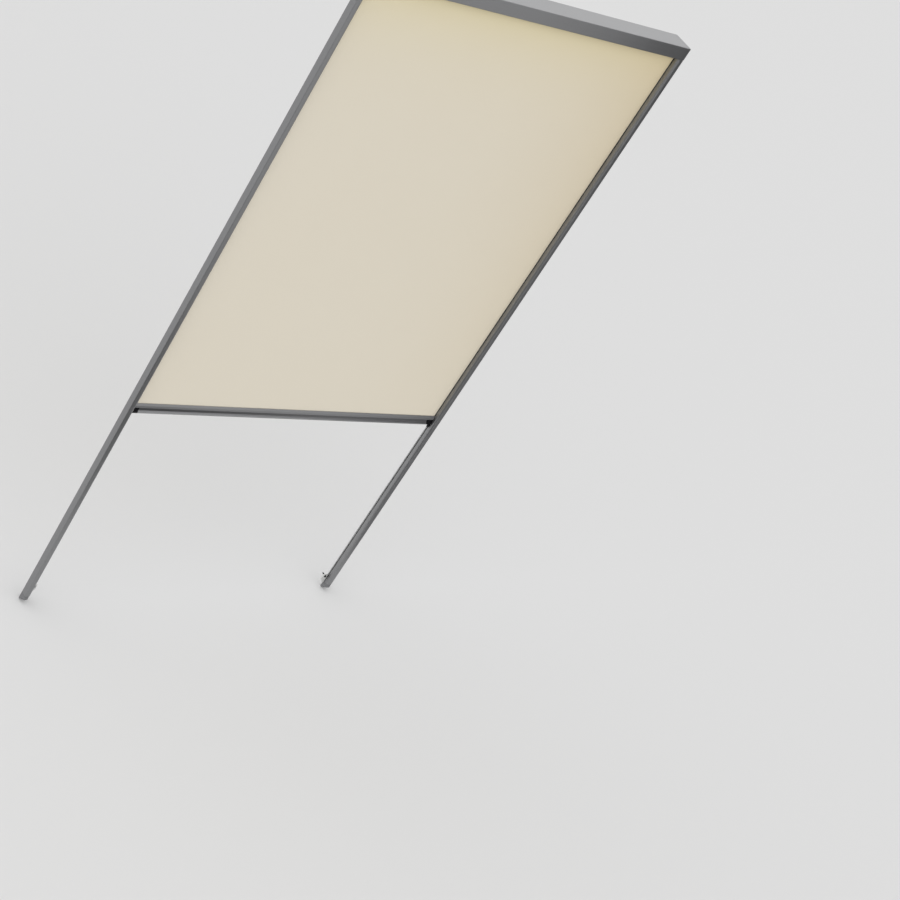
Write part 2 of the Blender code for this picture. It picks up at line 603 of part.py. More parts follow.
def foot_end(side):
    """The shape that trims the foot: rounded at both lower corners, and slanting down to the rear."""
    sign = SIDES[side]
    corners = [(RAIL_INNER_X - FIT_GAP, RAIL_BOTTOM, 0.0), (HALF_WIDTH + FIT_GAP, RAIL_BOTTOM, 0.0),
               (HALF_WIDTH + FIT_GAP, -BLIND_LENGTH, FOOT_ROUND),
               (RAIL_INNER_X - FIT_GAP, -BLIND_LENGTH, FOOT_ROUND)]
    slope = FOOT_SLANT_DROP / (RAIL_BACK_Y - FRONT_Y)

    def slant(bm):
        for vert in bm.verts:
            if vert.co.z < RAIL_BOTTOM - FOOT_HEIGHT / 2:
                vert.co.z -= slope * (vert.co.y - FRONT_Y)

    return extruded(f"foot_end_{side}", [(sign * x, z) for x, z in rounded(corners)], "Y",
                    FRONT_Y - FIT_GAP, RAIL_BACK_Y + FIT_GAP, None, reshape=slant)


def make_foot(side, look):
    """The plastic foot closes the rail's lower end and carries a lug with a screw."""
    sign = SIDES[side]
    outline = rounded([(RAIL_INNER_X, FRONT_Y, RAIL_NOSE_RADIUS), (HALF_WIDTH, FRONT_Y, RAIL_CORNER),
                       (HALF_WIDTH, RAIL_BACK_Y, RAIL_CORNER), (RAIL_INNER_X, RAIL_BACK_Y, RAIL_CORNER)])
    outline = [(sign * x, y) for x, y in outline]
    foot = extruded(f"rail_foot_{side}", outline, "Z", -BLIND_LENGTH - FOOT_SLANT_DROP - FOOT_HEIGHT,
                    RAIL_BOTTOM - FIT_GAP, look["grey"])
    combine(foot, foot_end(side), "INTERSECT")
    plug_y = (FRONT_Y + RAIL_WALL + FIT_GAP, RAIL_BACK_Y - RAIL_WALL - FIT_GAP)
    plug = extruded(f"foot_plug_{side}", cavity_outline(sign, *plug_y), "Z",
                    RAIL_BOTTOM - FOOT_HEIGHT / 4, RAIL_BOTTOM + PLUG_HEIGHT, None)
    join(foot, plug)
    lug_top = RAIL_BOTTOM + PLUG_HEIGHT + LUG_TAPER
    lug_bottom = lug_top - LUG_HEIGHT
    inner = RAIL_INNER_X - LUG_WIDTH
    root = RAIL_INNER_X + RAIL_CORNER + FIT_GAP
    rail_edge = RAIL_INNER_X - FIT_GAP
    stem_top = RAIL_BOTTOM - 2 * FIT_GAP
    corners = [(rail_edge, lug_top, 0.0), (inner, lug_top, RAIL_CORNER * 2),
               (inner, lug_top - LUG_TAPER, RAIL_CORNER * 2), (rail_edge, lug_bottom - FOOT_HEIGHT / 4, 0.0),
               (root, lug_bottom - FOOT_HEIGHT / 4, 0.0), (root, stem_top, 0.0), (rail_edge, stem_top, 0.0)]
    lug_outline = [(sign * x, z) for x, z in rounded(corners)]
    lug = extruded(f"lug_{side}", lug_outline, "Y", LUG_BACK_Y - LUG_THICKNESS, LUG_BACK_Y, None)
    join(foot, lug)
    x, z = lug_hole()
    cut(foot, rod(f"lug_hole_{side}", "Y", (sign * x, LUG_BACK_Y, z), -LUG_THICKNESS - FIT_GAP, FIT_GAP,
                  FOOT_SCREW_RADIUS + FIT_GAP, SCREW_SIDES, None))


def lug_hole():
    """Centre of the screw hole in the foot's lug, as (x, z) on the right-hand side."""
    return (RAIL_INNER_X - LUG_WIDTH / 2, RAIL_BOTTOM + PLUG_HEIGHT + LUG_TAPER - LUG_HOLE_DROP)


def make_foot_screws(look):
    x, z = lug_hole()
    seat_y = LUG_BACK_Y - LUG_THICKNESS - FIT_GAP
    sizes = (FOOT_SCREW_RADIUS, FOOT_SCREW_HEAD_RADIUS, FOOT_SCREW_HEAD_HEIGHT)
    for side, sign in SIDES.items():
        screw(f"foot_screw_{side}", "Y", (sign * x, seat_y, z), FOOT_SCREW_LENGTH, sizes, look["black"])


# Tension cords that stay with the rails
def make_rail_cord(side, look):
    sign = SIDES[side]
    x = sign * CORD_X
    plug_top = RAIL_BOTTOM + PLUG_HEIGHT
    spring_start = plug_top + CORD_SPRING_WIRE_RADIUS + FIT_GAP
    coil = helix("Z", (x, FABRIC_Y, 0.0), spring_start, CORD_SPRING_LENGTH, CORD_SPRING_RADIUS,
                 CORD_SPRING_TURNS, CORD_SPRING_POINTS)
    cord(f"cord_spring_{side}", coil, CORD_SPRING_WIRE_RADIUS, look["spring"], resolution=0)
    cord_bottom = spring_start + CORD_SPRING_LENGTH + CORD_SPRING_WIRE_RADIUS + FIT_GAP
    cord_top = ferrule_bottom() - FIT_GAP
    cord(f"tension_cord_{side}", [(x, FABRIC_Y, cord_bottom), (x, FABRIC_Y, cord_top)], CORD_RADIUS,
         look["cord"])
    rod(f"cord_ferrule_{side}", "Z", (x, FABRIC_Y, ferrule_bottom()), 0.0, FERRULE_LENGTH,
        FERRULE_RADIUS, SCREW_SIDES, look["steel"])


# Bottom bar
def bar_point(reach, drop):
    """A point of the bar's section: reach is towards the room from the fabric, drop is down."""
    return (FABRIC_Y - reach, BAR_TOP - drop)


def bar_section():
    """The bar's outline, with the open groove that grips the fabric's hem."""
    half_slot = FABRIC_SLOT / 2
    room = KEEPER_RADIUS + FIT_GAP
    first = math.acos(max(min((half_slot - KEEPER_OFFSET) / room, 1.0), -1.0))
    last = math.acos(max((-half_slot - KEEPER_OFFSET) / room, -1.0))
    groove = []
    for step in range(GROOVE_STEPS + 1):
        turn = first - (2 * math.pi - last + first) * step / GROOVE_STEPS
        reach = -(KEEPER_OFFSET + room * math.cos(turn))
        groove.append((*bar_point(reach, KEEPER_DEPTH - room * math.sin(turn)), 0.0))
    lip_top = BAR_HEIGHT - BAR_LIP_HEIGHT
    corners = [(*bar_point(-BAR_BACK, 0.0), BAR_EDGE_ROUND), (*bar_point(-half_slot, 0.0), 0.0)]
    corners += groove
    corners += [(*bar_point(half_slot, 0.0), 0.0),
                (*bar_point(BAR_FRONT_TOP, 0.0), BAR_EDGE_ROUND),
                (*bar_point(BAR_SHOULDER_REACH, BAR_SHOULDER_DROP), BAR_SHOULDER_ROUND),
                (*bar_point(BAR_CREASE_REACH, BAR_CREASE_DROP), BAR_CREASE_ROUND),
                (*bar_point(BAR_WAIST_REACH, BAR_WAIST_TOP), BAR_WAIST_TOP_ROUND),
                (*bar_point(BAR_WAIST_REACH, BAR_WAIST_BOTTOM), BAR_WAIST_BOTTOM_ROUND),
                (*bar_point(BAR_LIP_REACH, lip_top), BAR_EDGE_ROUND),
                (*bar_point(BAR_LIP_FOOT_REACH, BAR_HEIGHT), BAR_EDGE_ROUND),
                (*bar_point(-BAR_BACK, BAR_HEIGHT), BAR_EDGE_ROUND)]
    return rounded(corners)


def make_bar(look, carriage):
    origin = carriage["origin"]
    bar = extruded("bottom_bar", bar_section(), "X", -BAR_HALF_LENGTH, BAR_HALF_LENGTH,
                   look["aluminium"], origin, carriage)
    top, bottom = BAR_TOP - CHAMBER_TOP, BAR_TOP - CHAMBER_BOTTOM
    beyond = BAR_HALF_LENGTH + FIT_GAP
    cut(bar, block("bar_chamber", (-beyond, CHAMBER_FRONT_Y, bottom), (beyond, CHAMBER_BACK_Y, top), None,
                   origin))
    for side, sign in SIDES.items():
        x = sorted((sign * NOTCH_X, sign * beyond))
        low = (x[0], FABRIC_Y - 2 * BAR_LIP_REACH, BAR_TOP - BAR_HEIGHT - FIT_GAP)
        high = (x[1], FABRIC_Y + 2 * BAR_BACK, BAR_TOP - BAR_CREASE_DROP)
        cut(bar, block(f"bar_notch_{side}", low, high, None, origin))
    y, z = bar_point(-KEEPER_OFFSET, KEEPER_DEPTH)
    rod("fabric_keeper", "X", (0, y, z), -BAR_HALF_LENGTH, BAR_HALF_LENGTH, KEEPER_RADIUS, PIN_SIDES,
        look["pale"], carriage)


def make_bar_cap(side, look, carriage):
    """Black cap on the lower part of the bar's end, with a short leg that runs beside the rail."""
    sign = SIDES[side]
    origin = carriage["origin"]
    start = sign * (NOTCH_X + FIT_GAP)
    end = sign * BAR_HALF_LENGTH
    top = BAR_CREASE_DROP + FIT_GAP
    bulge = BAR_WAIST_REACH + BAR_CAP_BULGE
    corners = [(*bar_point(-BAR_BACK, top), BAR_EDGE_ROUND),
               (*bar_point(BAR_CREASE_REACH, top), BAR_EDGE_ROUND),
               (*bar_point(bulge, BAR_WAIST_TOP + BAR_CAP_BULGE), BAR_CAP_ROUND),
               (*bar_point(bulge, BAR_WAIST_BOTTOM), BAR_CAP_ROUND),
               (*bar_point(BAR_LIP_REACH, BAR_HEIGHT - BAR_LIP_HEIGHT), BAR_EDGE_ROUND),
               (*bar_point(BAR_LIP_FOOT_REACH, BAR_HEIGHT), BAR_EDGE_ROUND),
               (*bar_point(-BAR_BACK, BAR_HEIGHT), BAR_EDGE_ROUND)]
    cap = extruded(f"bar_end_cap_{side}", rounded(corners), "X", start, end, look["black"], origin, carriage)

    x = sorted((start - sign * BAR_CAP_TONGUE, start + sign * FIT_GAP))
    tongue_bottom = BAR_TOP - CHAMBER_BOTTOM + FIT_GAP
    tongue = block(f"cap_tongue_{side}", (x[0], CHAMBER_FRONT_Y + FIT_GAP, tongue_bottom),
                   (x[1], CHAMBER_BACK_Y - FIT_GAP, BAR_TOP - top), None, origin)
    join(cap, tongue)

    leg_x = sorted((end - sign * (BAR_LEG_WIDTH + FIT_GAP), end - sign * FIT_GAP))
    leg_front, leg_top = bar_point(BAR_LEG_DEPTH - BLADE_THICKNESS / 2, BAR_HEIGHT - BAR_LIP_HEIGHT)
    leg_bottom = BAR_TOP - BAR_HEIGHT - BAR_LEG_LENGTH
    leg_corners = [(leg_front, leg_top, 0.0), (leg_front, leg_bottom, BAR_LEG_DEPTH / 3),
                   (leg_front + BAR_LEG_DEPTH, leg_bottom, BAR_LEG_DEPTH / 3),
                   (leg_front + BAR_LEG_DEPTH, leg_top, 0.0)]
    join(cap, extruded(f"cap_leg_{side}", rounded(leg_corners), "X", leg_x[0], leg_x[1], None, origin))

    room = BLADE_ROOM
    slot_x = sorted((start - sign * (BAR_CAP_TONGUE + FIT_GAP), end + sign * FIT_GAP))
    cord_room = cord_slot_half_height()
    cut(cap, block(f"cap_cord_tunnel_{side}", (slot_x[0], FABRIC_Y - room, CORD_LEVEL - cord_room),
                   (slot_x[1], FABRIC_Y + room, CORD_LEVEL + cord_room), None, origin))
    blade_x = sorted((end - sign * (BLADE_GRIP + FIT_GAP), end + sign * FIT_GAP))
    blade_room = BLADE_HALF_HEIGHT + FIT_GAP
    cut(cap, block(f"cap_blade_pocket_{side}", (blade_x[0], FABRIC_Y - room, CORD_LEVEL - blade_room),
                   (blade_x[1], FABRIC_Y + room, CORD_LEVEL + blade_room), None, origin))


def cord_slot_half_height():
    """Half the height of the passage for the two crossing cords."""
    return CORD_SPACING / 2 + CORD_RADIUS + CORD_PULLEY_GAP * 2


def pulley_levels():
    """Heights of the two pulley axes in each glide."""
    offset = CORD_SPACING / 2 + CORD_TURN_RADIUS
    return {"upper": CORD_LEVEL + offset, "lower": CORD_LEVEL - offset}


def make_glide(side, look, carriage):
    """The glide runs in the rail's cavity; its blade goes through the slot into the bar's end cap."""
    sign = SIDES[side]
    origin = carriage["origin"]
    low_z = CORD_LEVEL - GLIDE_HALF_HEIGHT
    high_z = CORD_LEVEL + GLIDE_HALF_HEIGHT
    cheek_back = FABRIC_Y - PULLEY_HALF_THICKNESS - CORD_PULLEY_GAP
    cheek = cavity_outline(sign, FRONT_Y + RAIL_WALL + FIT_GAP, cheek_back)
    glide = extruded(f"bar_glide_{side}", cheek, "Z", low_z, high_z, look["pale"], origin, carriage)
    web_x = sorted((sign * GLIDE_INNER_X, sign * (GLIDE_INNER_X + GLIDE_WEB)))
    web_back = RAIL_BACK_Y - RAIL_WALL - FIT_GAP
    join(glide, block(f"glide_web_{side}", (web_x[0], cheek_back - GLIDE_WEB, low_z + FIT_GAP),
                      (web_x[1], web_back, high_z - FIT_GAP), None, origin))
    blade_x = sorted((sign * (BAR_HALF_LENGTH - BLADE_GRIP), sign * (GLIDE_INNER_X + GLIDE_WEB / 2)))
    half = BLADE_THICKNESS / 2
    join(glide, block(f"glide_blade_{side}", (blade_x[0], FABRIC_Y - half, CORD_LEVEL - BLADE_HALF_HEIGHT),
                      (blade_x[1], FABRIC_Y + half, CORD_LEVEL + BLADE_HALF_HEIGHT), None, origin))
    slot_x = sorted((sign * (BAR_HALF_LENGTH - BLADE_GRIP - FIT_GAP),
                     sign * (GLIDE_INNER_X + GLIDE_WEB + FIT_GAP)))
    slot_half = cord_slot_half_height()
    cut(glide, block(f"glide_cord_slot_{side}", (slot_x[0], FABRIC_Y - BLADE_ROOM, CORD_LEVEL - slot_half),
                     (slot_x[1], FABRIC_Y + BLADE_ROOM, CORD_LEVEL + slot_half), None, origin))
    for level_name, level in pulley_levels().items():
        cut(glide, rod(f"pin_hole_{side}_{level_name}", "Y", (sign * PULLEY_X, cheek_back, level),
                       -PULLEY_PIN_LENGTH, FIT_GAP, PULLEY_PIN_RADIUS + FIT_GAP, SCREW_SIDES, None))


def make_pulleys(look, carriage):
    """Four grooved pulleys, each on its own headed pin."""
    bore = PULLEY_PIN_RADIUS + FIT_GAP
    half = PULLEY_HALF_THICKNESS
    floor = CORD_RADIUS + GROOVE_GAP
    profile = [(-half, bore), (-half, FLANGE_RADIUS), (-floor, FLANGE_RADIUS), (-floor, GROOVE_RADIUS),
               (floor, GROOVE_RADIUS), (floor, FLANGE_RADIUS), (half, FLANGE_RADIUS), (half, bore)]
    seat_y = FABRIC_Y + half + CORD_PULLEY_GAP
    length = 2 * (half + CORD_PULLEY_GAP) + PULLEY_PIN_LENGTH - FIT_GAP
    sizes = (PULLEY_PIN_RADIUS, PULLEY_HEAD_RADIUS, PULLEY_HEAD_THICKNESS)
    for side, sign in SIDES.items():
        for level_name, level in pulley_levels().items():
            x = sign * PULLEY_X
            turned(f"pulley_{side}_{level_name}", profile, "Y", (x, FABRIC_Y, level), HOLE_SIDES,
                   look["pale"], carriage, closed=True)
            screw(f"pulley_pin_{side}_{level_name}", "Y", (x, seat_y, level), -length, sizes,
                  look["steel"], carriage, PIN_SIDES)


def cord_turn(side, level_name):
    """The start of a cord's turn round one pulley, from the bar outwards."""
    sign = SIDES[side]
    up = 1 if level_name == "upper" else -1
    level = pulley_levels()[level_name]
    points = []
    for step in range(CORD_WRAP_STEPS + 1):
        turn = CORD_WRAP * step / CORD_WRAP_STEPS
        points.append((sign * (PULLEY_X + CORD_TURN_RADIUS * math.sin(turn)), FABRIC_Y,
                       level - up * CORD_TURN_RADIUS * math.cos(turn)))
    return points


def make_cross_cords(look, carriage):
    """Each cord comes from above at one side, crosses the bar and leaves downwards at the other."""
    lane = CHAMBER_FRONT_Y + CORD_RADIUS + FIT_GAP
    tunnel_end = NOTCH_X - BAR_CAP_TONGUE - FIT_GAP
    lane_start = tunnel_end - BAR_CAP_TONGUE
    for name, upper_side, lower_side in (("front", "right", "left"), ("back", "left", "right")):
        middle = []
        for side, level in ((upper_side, CORD_LEVEL + CORD_SPACING / 2),
                            (lower_side, CORD_LEVEL - CORD_SPACING / 2)):
            sign = SIDES[side]
            bend = [(sign * tunnel_end, FABRIC_Y, level), (sign * lane_start, lane, level)]
            middle += bend if not middle else bend[::-1]
        route = cord_turn(upper_side, "upper")[::-1] + middle + cord_turn(lower_side, "lower")
        cord(f"cross_cord_{name}", route, CORD_RADIUS, look["cord"], carriage)
        lane += CORD_DIAMETER + FIT_GAP


# Fabric
def make_fabric(look):
    half = FABRIC_THICKNESS / 2
    bottom = BAR_TOP - KEEPER_DEPTH + KEEPER_RADIUS + FIT_GAP
    block("fabric_sheet", (-FABRIC_HALF_WIDTH, FABRIC_Y - half, bottom),
          (FABRIC_HALF_WIDTH, FABRIC_Y + half, -ROLLER_DROP), look["cloth"])


def build():
    clear_scene()
    look = make_finishes()
    make_casing(look)
    for side in SIDES:
        make_casing_end(side, look)
    make_casing_screws(look)
    make_roller(look)
    for side in SIDES:
        make_rail(side, look)
        make_foot(side, look)
        make_rail_cord(side, look)
    make_foot_screws(look)
    carriage = frame_point("bar_carriage", (0, FABRIC_Y, CORD_LEVEL))
    make_bar(look, carriage)
    for side in SIDES:
        make_bar_cap(side, look, carriage)
        make_glide(side, look, carriage)
    make_pulleys(look, carriage)
    make_cross_cords(look, carriage)
    make_fabric(look)


build()
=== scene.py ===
# %% [markdown]
# # Skylight window blind
#
# This file dresses a spring roller blind for a roof window: a flat head casing, two slim rails, a
# beige blackout cloth and a bottom bar on crossed tension cords.
#
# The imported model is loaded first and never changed. It brings one mesh for each CAD node, which
# Blender calls an object, and every piece made here takes the place of one of them and rides on the
# same body. All of it shares one frame: X runs across the blind, Y away from whoever looks at it
# and Z up the slope, in metres.

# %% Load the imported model
import json
import math

import bmesh
import bpy
from mathutils import Matrix, Vector

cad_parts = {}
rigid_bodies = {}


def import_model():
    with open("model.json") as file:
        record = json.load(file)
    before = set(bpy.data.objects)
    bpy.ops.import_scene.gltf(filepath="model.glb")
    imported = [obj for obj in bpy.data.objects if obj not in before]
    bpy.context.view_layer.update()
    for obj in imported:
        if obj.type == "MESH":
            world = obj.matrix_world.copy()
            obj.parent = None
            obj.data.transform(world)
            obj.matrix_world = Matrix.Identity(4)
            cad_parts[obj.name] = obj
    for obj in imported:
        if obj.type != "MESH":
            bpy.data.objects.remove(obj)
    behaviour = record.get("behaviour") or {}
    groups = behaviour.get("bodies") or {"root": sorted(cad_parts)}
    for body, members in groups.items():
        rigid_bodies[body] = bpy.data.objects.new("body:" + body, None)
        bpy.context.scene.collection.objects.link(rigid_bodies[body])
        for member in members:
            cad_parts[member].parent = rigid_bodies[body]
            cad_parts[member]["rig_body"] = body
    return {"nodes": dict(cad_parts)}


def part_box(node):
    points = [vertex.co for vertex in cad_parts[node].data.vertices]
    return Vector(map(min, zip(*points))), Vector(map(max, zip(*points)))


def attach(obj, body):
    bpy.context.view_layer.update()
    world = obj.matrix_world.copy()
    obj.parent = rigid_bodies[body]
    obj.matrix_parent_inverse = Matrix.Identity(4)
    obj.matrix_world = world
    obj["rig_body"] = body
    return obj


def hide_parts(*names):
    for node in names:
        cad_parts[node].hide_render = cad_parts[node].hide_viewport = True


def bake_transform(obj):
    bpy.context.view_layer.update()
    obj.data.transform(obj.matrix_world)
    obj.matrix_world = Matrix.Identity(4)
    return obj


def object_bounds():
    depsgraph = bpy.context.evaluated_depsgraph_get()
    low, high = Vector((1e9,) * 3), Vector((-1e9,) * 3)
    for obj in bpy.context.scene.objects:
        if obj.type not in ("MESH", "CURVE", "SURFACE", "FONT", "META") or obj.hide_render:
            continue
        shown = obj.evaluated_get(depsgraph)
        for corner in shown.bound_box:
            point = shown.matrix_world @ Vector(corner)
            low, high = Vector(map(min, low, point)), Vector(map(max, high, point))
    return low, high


MM = 0.001
SIDES = {"left": -1, "right": 1}

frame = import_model()
frame_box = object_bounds()
print("CAD size in mm:", [round(size / MM, 1) for size in frame_box[1] - frame_box[0]])

# %% [markdown]
# ## The camera
#
# The photograph was taken from below, looking up at a leaning blind. A camera could be dragged
# about until the picture fits, but then no number in it means anything. Here it is set by how far
# it was turned, pitched and rolled over level ground, and by how steeply the blind leans, so each
# number can be checked by itself. The lens comes from the focal length in pixels.

# %% Turn the camera into the blind's frame
CAMERA_YAW = math.radians(43.75)
CAMERA_PITCH = math.radians(2.15)
CAMERA_ROLL = math.radians(0.54)
BLIND_SLOPE = math.radians(44.02)


def camera_turn():
    """The camera's rotation in the blind's frame, from its turns over level ground."""
    level = Vector((math.cos(CAMERA_YAW), -math.sin(CAMERA_YAW), 0.0))
    ahead = Vector((math.sin(CAMERA_YAW), math.cos(CAMERA_YAW), math.tan(CAMERA_PITCH)))
    ahead.normalize()
    below = ahead.cross(level)
    right = level * math.cos(CAMERA_ROLL) + below * math.sin(CAMERA_ROLL)
    down = below * math.cos(CAMERA_ROLL) - level * math.sin(CAMERA_ROLL)
    lean, rise = math.sin(BLIND_SLOPE), math.cos(BLIND_SLOPE)
    leaning = Matrix(((1, 0, 0), (0, lean, rise), (0, -rise, lean)))
    return Matrix([leaning @ axis for axis in (right, -down, -ahead)]).transposed()


print("The camera looks along", [round(-part, 3) for part in camera_turn().col[2]])

# %% Place the camera
IMAGE_SIDE = 900
FOCAL_PIXELS = 1878.0
SENSOR_WIDTH = 36.0
CAMERA_PLACE = Vector((-1.9401, -1.8050, 0.8040))


def make_camera():
    data = bpy.data.cameras.new("camera")
    data.sensor_width = SENSOR_WIDTH
    data.lens = FOCAL_PIXELS / IMAGE_SIDE * SENSOR_WIDTH
    camera = bpy.data.objects.new("camera", data)
    bpy.context.collection.objects.link(camera)
    camera.matrix_world = Matrix.Translation(CAMERA_PLACE) @ camera_turn().to_4x4()
    bpy.context.scene.camera = camera
    bpy.context.scene.view_settings.view_transform = "Standard"
    return camera


camera = make_camera()
print(f"Lens {camera.data.lens:.1f} mm, {CAMERA_PLACE.length:.2f} m from the casing")

# %% [markdown]
# ## Sums made of nodes
#
# Blender's materials and its Geometry Nodes are both trees of small boxes joined by wires. Drawn by
# hand, even a short sum takes several boxes and their wires. The class below stands for one output
# of a node and gives it Python's own signs for adding, subtracting, multiplying and dividing, so
# that a sum in the script adds the Math nodes by itself. Numbers that don't change over a surface
# are worked out in Python.


# %% A node's output that takes part in sums
class Wire:
    """One output of a node."""

    def __init__(self, graph, node, output=0):
        self.graph = graph
        self.node = node
        self.output = output

    @property
    def socket(self):
        return self.node.outputs[self.output]

    def math(self, operation, *others):
        sockets = dict(enumerate((self, *others)))
        return self.graph.node("ShaderNodeMath", {"operation": operation}, sockets)

    def swapped(self, operation, other):
        return self.graph.node("ShaderNodeMath", {"operation": operation}, {0: other, 1: self})

    def __add__(self, other):
        return self.math("ADD", other)

    def __radd__(self, other):
        return self.swapped("ADD", other)

    def __sub__(self, other):
        return self.math("SUBTRACT", other)

    def __rsub__(self, other):
        return self.swapped("SUBTRACT", other)

    def __mul__(self, other):
        return self.math("MULTIPLY", other)

    def __rmul__(self, other):
        return self.swapped("MULTIPLY", other)

    def __truediv__(self, other):
        return self.math("DIVIDE", other)

    def __rtruediv__(self, other):
        return self.swapped("DIVIDE", other)


# %% A tree that nodes are added to
BEVEL_SAMPLES = 4


class Graph:
    """Adds nodes to one tree: settings are the node's properties, sockets what its inputs get."""

    def __init__(self, tree):
        self.tree = tree

    def node(self, kind, settings=None, sockets=None, output=0):
        made = self.tree.nodes.new(kind)
        for name, value in (settings or {}).items():
            setattr(made, name, value)
        for key, value in (sockets or {}).items():
            if isinstance(value, Wire):
                self.tree.links.new(value.socket, made.inputs[key])
            else:
                made.inputs[key].default_value = value
        return Wire(self, made, output)

    def place(self):
        """Each point's place in the blind's frame."""
        return self.node("ShaderNodeTexCoord", output="Object")

    def split(self, vector):
        """The three numbers of a vector."""
        parts = self.node("ShaderNodeSeparateXYZ", sockets={0: vector})
        return [Wire(self, parts.node, axis) for axis in range(3)]

    def noise(self, per_metre, detail=2.0):
        """Noise from 0 to 1, with the given number of features in a metre along X, Y and Z."""
        point = self.node("ShaderNodeMapping", sockets={"Vector": self.place(), "Scale": per_metre})
        return self.node("ShaderNodeTexNoise", sockets={
            "Vector": point, "Scale": 1.0, "Detail": detail})

    def mix(self, share, first, second):
        """A colour between two others. The Mix node keeps its colours in sockets 6, 7 and 2."""
        return self.node("ShaderNodeMix", {"data_type": "RGBA"},
                         {0: share, 6: first, 7: second}, output=2)

    def bump(self, height, distance, strength=1.0, edge=None):
        """A surface roughened by height, with its sharp edges rounded by edge."""
        sockets = {"Height": height, "Distance": distance, "Strength": strength}
        if edge is not None:
            sockets["Normal"] = self.node("ShaderNodeBevel", {"samples": BEVEL_SAMPLES},
                                          {"Radius": edge})
        return self.node("ShaderNodeBump", sockets=sockets)


# %% Materials, and the list of finishes
def material(name, paint):
    """A material whose Principled BSDF gets what paint(graph) returns."""
    made = bpy.data.materials.new(name)
    made.use_nodes = True
    made.node_tree.nodes.clear()
    graph = Graph(made.node_tree)
    surface = graph.node("ShaderNodeBsdfPrincipled", sockets=paint(graph))
    graph.node("ShaderNodeOutputMaterial", sockets={"Surface": surface})
    return made


def shade_of(colour, share):
    """The colour, darker or lighter by a share."""
    return (*(min(share * value, 1.0) for value in colour[:3]), 1.0)


looks = {}


def add_look(slot, name, paint):
    """Keeps a finish for the pieces of one material slot."""
    looks[slot] = material(name, paint)
    print(f"{slot}: {len(looks[slot].node_tree.nodes)} nodes")


# %% [markdown]
# ## Anodised aluminium
#
# The casing, rails and bar are pressed through a die and then anodised, which leaves a satin grey
# with very fine lines along the way the metal came out. A photograph of such metal could be wrapped
# round each piece, but it would stretch on the long ones. Noise in the blind's frame keeps its real
# size: 2400 features to the metre across the lines and three along them. A slow cloud and a fine
# grain keep it from looking printed, and a Bevel node rounds the light on sharp edges. The bar's
# groove is only a few millimetres high and little light gets into it, while the lip below it
# catches the light. So the bar's own finish compares the place of a point with theirs: painted
# shade darkens the groove, and a painted highlight lightens the lip.

# %% Metal that was drawn through a die
ANODISED = (0.285, 0.286, 0.292, 1.0)
MILL_FINISH = (0.60, 0.61, 0.62, 1.0)
LINES_ACROSS = 2400.0
LINES_ALONG = 3.0
METAL_CLOUDS = 9.0
METAL_GRAINS = 5200.0
METAL_DARKEST, METAL_LIGHTEST = 0.88, 1.10
METAL_RELIEF = 0.012 * MM
METAL_EDGE = 0.12 * MM


def extruded_metal(colour, run, metallic=0.9, roughness=0.38):
    """Satin metal with fine lines along the way it was drawn."""
    def paint(graph):
        lines = [LINES_ALONG if axis == run else LINES_ACROSS for axis in "XYZ"]
        drawn = graph.noise(lines, detail=3.0)
        cloud = graph.noise([METAL_CLOUDS] * 3)
        grain = graph.noise([METAL_GRAINS] * 3)
        colours = (shade_of(colour, METAL_DARKEST), shade_of(colour, METAL_LIGHTEST))
        return {"Base Color": graph.mix(0.65 * drawn + 0.35 * cloud, *colours),
                "Metallic": metallic,
                "Roughness": roughness - 0.05 + 0.08 * drawn + 0.04 * cloud,
                "Normal": graph.bump(0.6 * drawn + 0.4 * grain, METAL_RELIEF, edge=METAL_EDGE)}
    return paint


add_look("anodised_aluminium", "anodised_along_x", extruded_metal(ANODISED, "X"))
add_look("anodised_upright", "anodised_along_z", extruded_metal(ANODISED, "Z"))
add_look("mill_aluminium", "mill_aluminium_tube", extruded_metal(MILL_FINISH, "X", 1.0, 0.32))

# %% The bar's metal, with painted shade in its groove and a painted highlight on its lip
GROOVE_TOP = -796.6 * MM
LIP_TOP = -804.2 * MM
BAR_FRONT = -11.0 * MM
# Painted shade darkens the groove towards near black, and a painted highlight lightens the lip.
GROOVE_PAINTED_SHADE = (0.02, 0.02, 0.021, 1.0)
GROOVE_SHADE_SHARE = 0.38
LIP_HIGHLIGHT_SHARE = 0.25


def bar_metal_painted_light(graph):
    """Drawn metal with painted shade in the bar's front groove and a painted highlight on its lip.
    """
    finish = extruded_metal(ANODISED, "X")(graph)
    _, inwards, up = graph.split(graph.place())
    in_front = inwards.math("LESS_THAN", BAR_FRONT)
    on_highlit_lip = in_front * up.math("LESS_THAN", LIP_TOP)
    in_shaded_groove = in_front * up.math("LESS_THAN", GROOVE_TOP) - on_highlit_lip
    # painted shade in the groove
    dark = graph.mix(GROOVE_SHADE_SHARE * in_shaded_groove, finish["Base Color"], GROOVE_PAINTED_SHADE)
    # painted highlight on the lip, towards the pale mill finish
    finish["Base Color"] = graph.mix(LIP_HIGHLIGHT_SHARE * on_highlit_lip, dark, MILL_FINISH)
    return finish


add_look("anodised_bar_painted_light", "anodised_bar_painted_light", bar_metal_painted_light)

# %% [markdown]
# ## Plated and drawn steel
#
# Screws, pins, ferrules and the shaft are zinc plated, and the springs are darker drawn wire. Both
# are fully metallic, so almost all that one sees is their surroundings in them. A faint mottle in
# colour and roughness is enough to break that up, and more would look like rust.

# %% Steel
ZINC = (0.58, 0.59, 0.61, 1.0)
SPRING_WIRE = (0.26, 0.26, 0.27, 1.0)
STEEL_MOTTLE = 900.0
STEEL_DARKEST = 0.82
STEEL_RELIEF = 0.008 * MM
STEEL_EDGE = 0.08 * MM


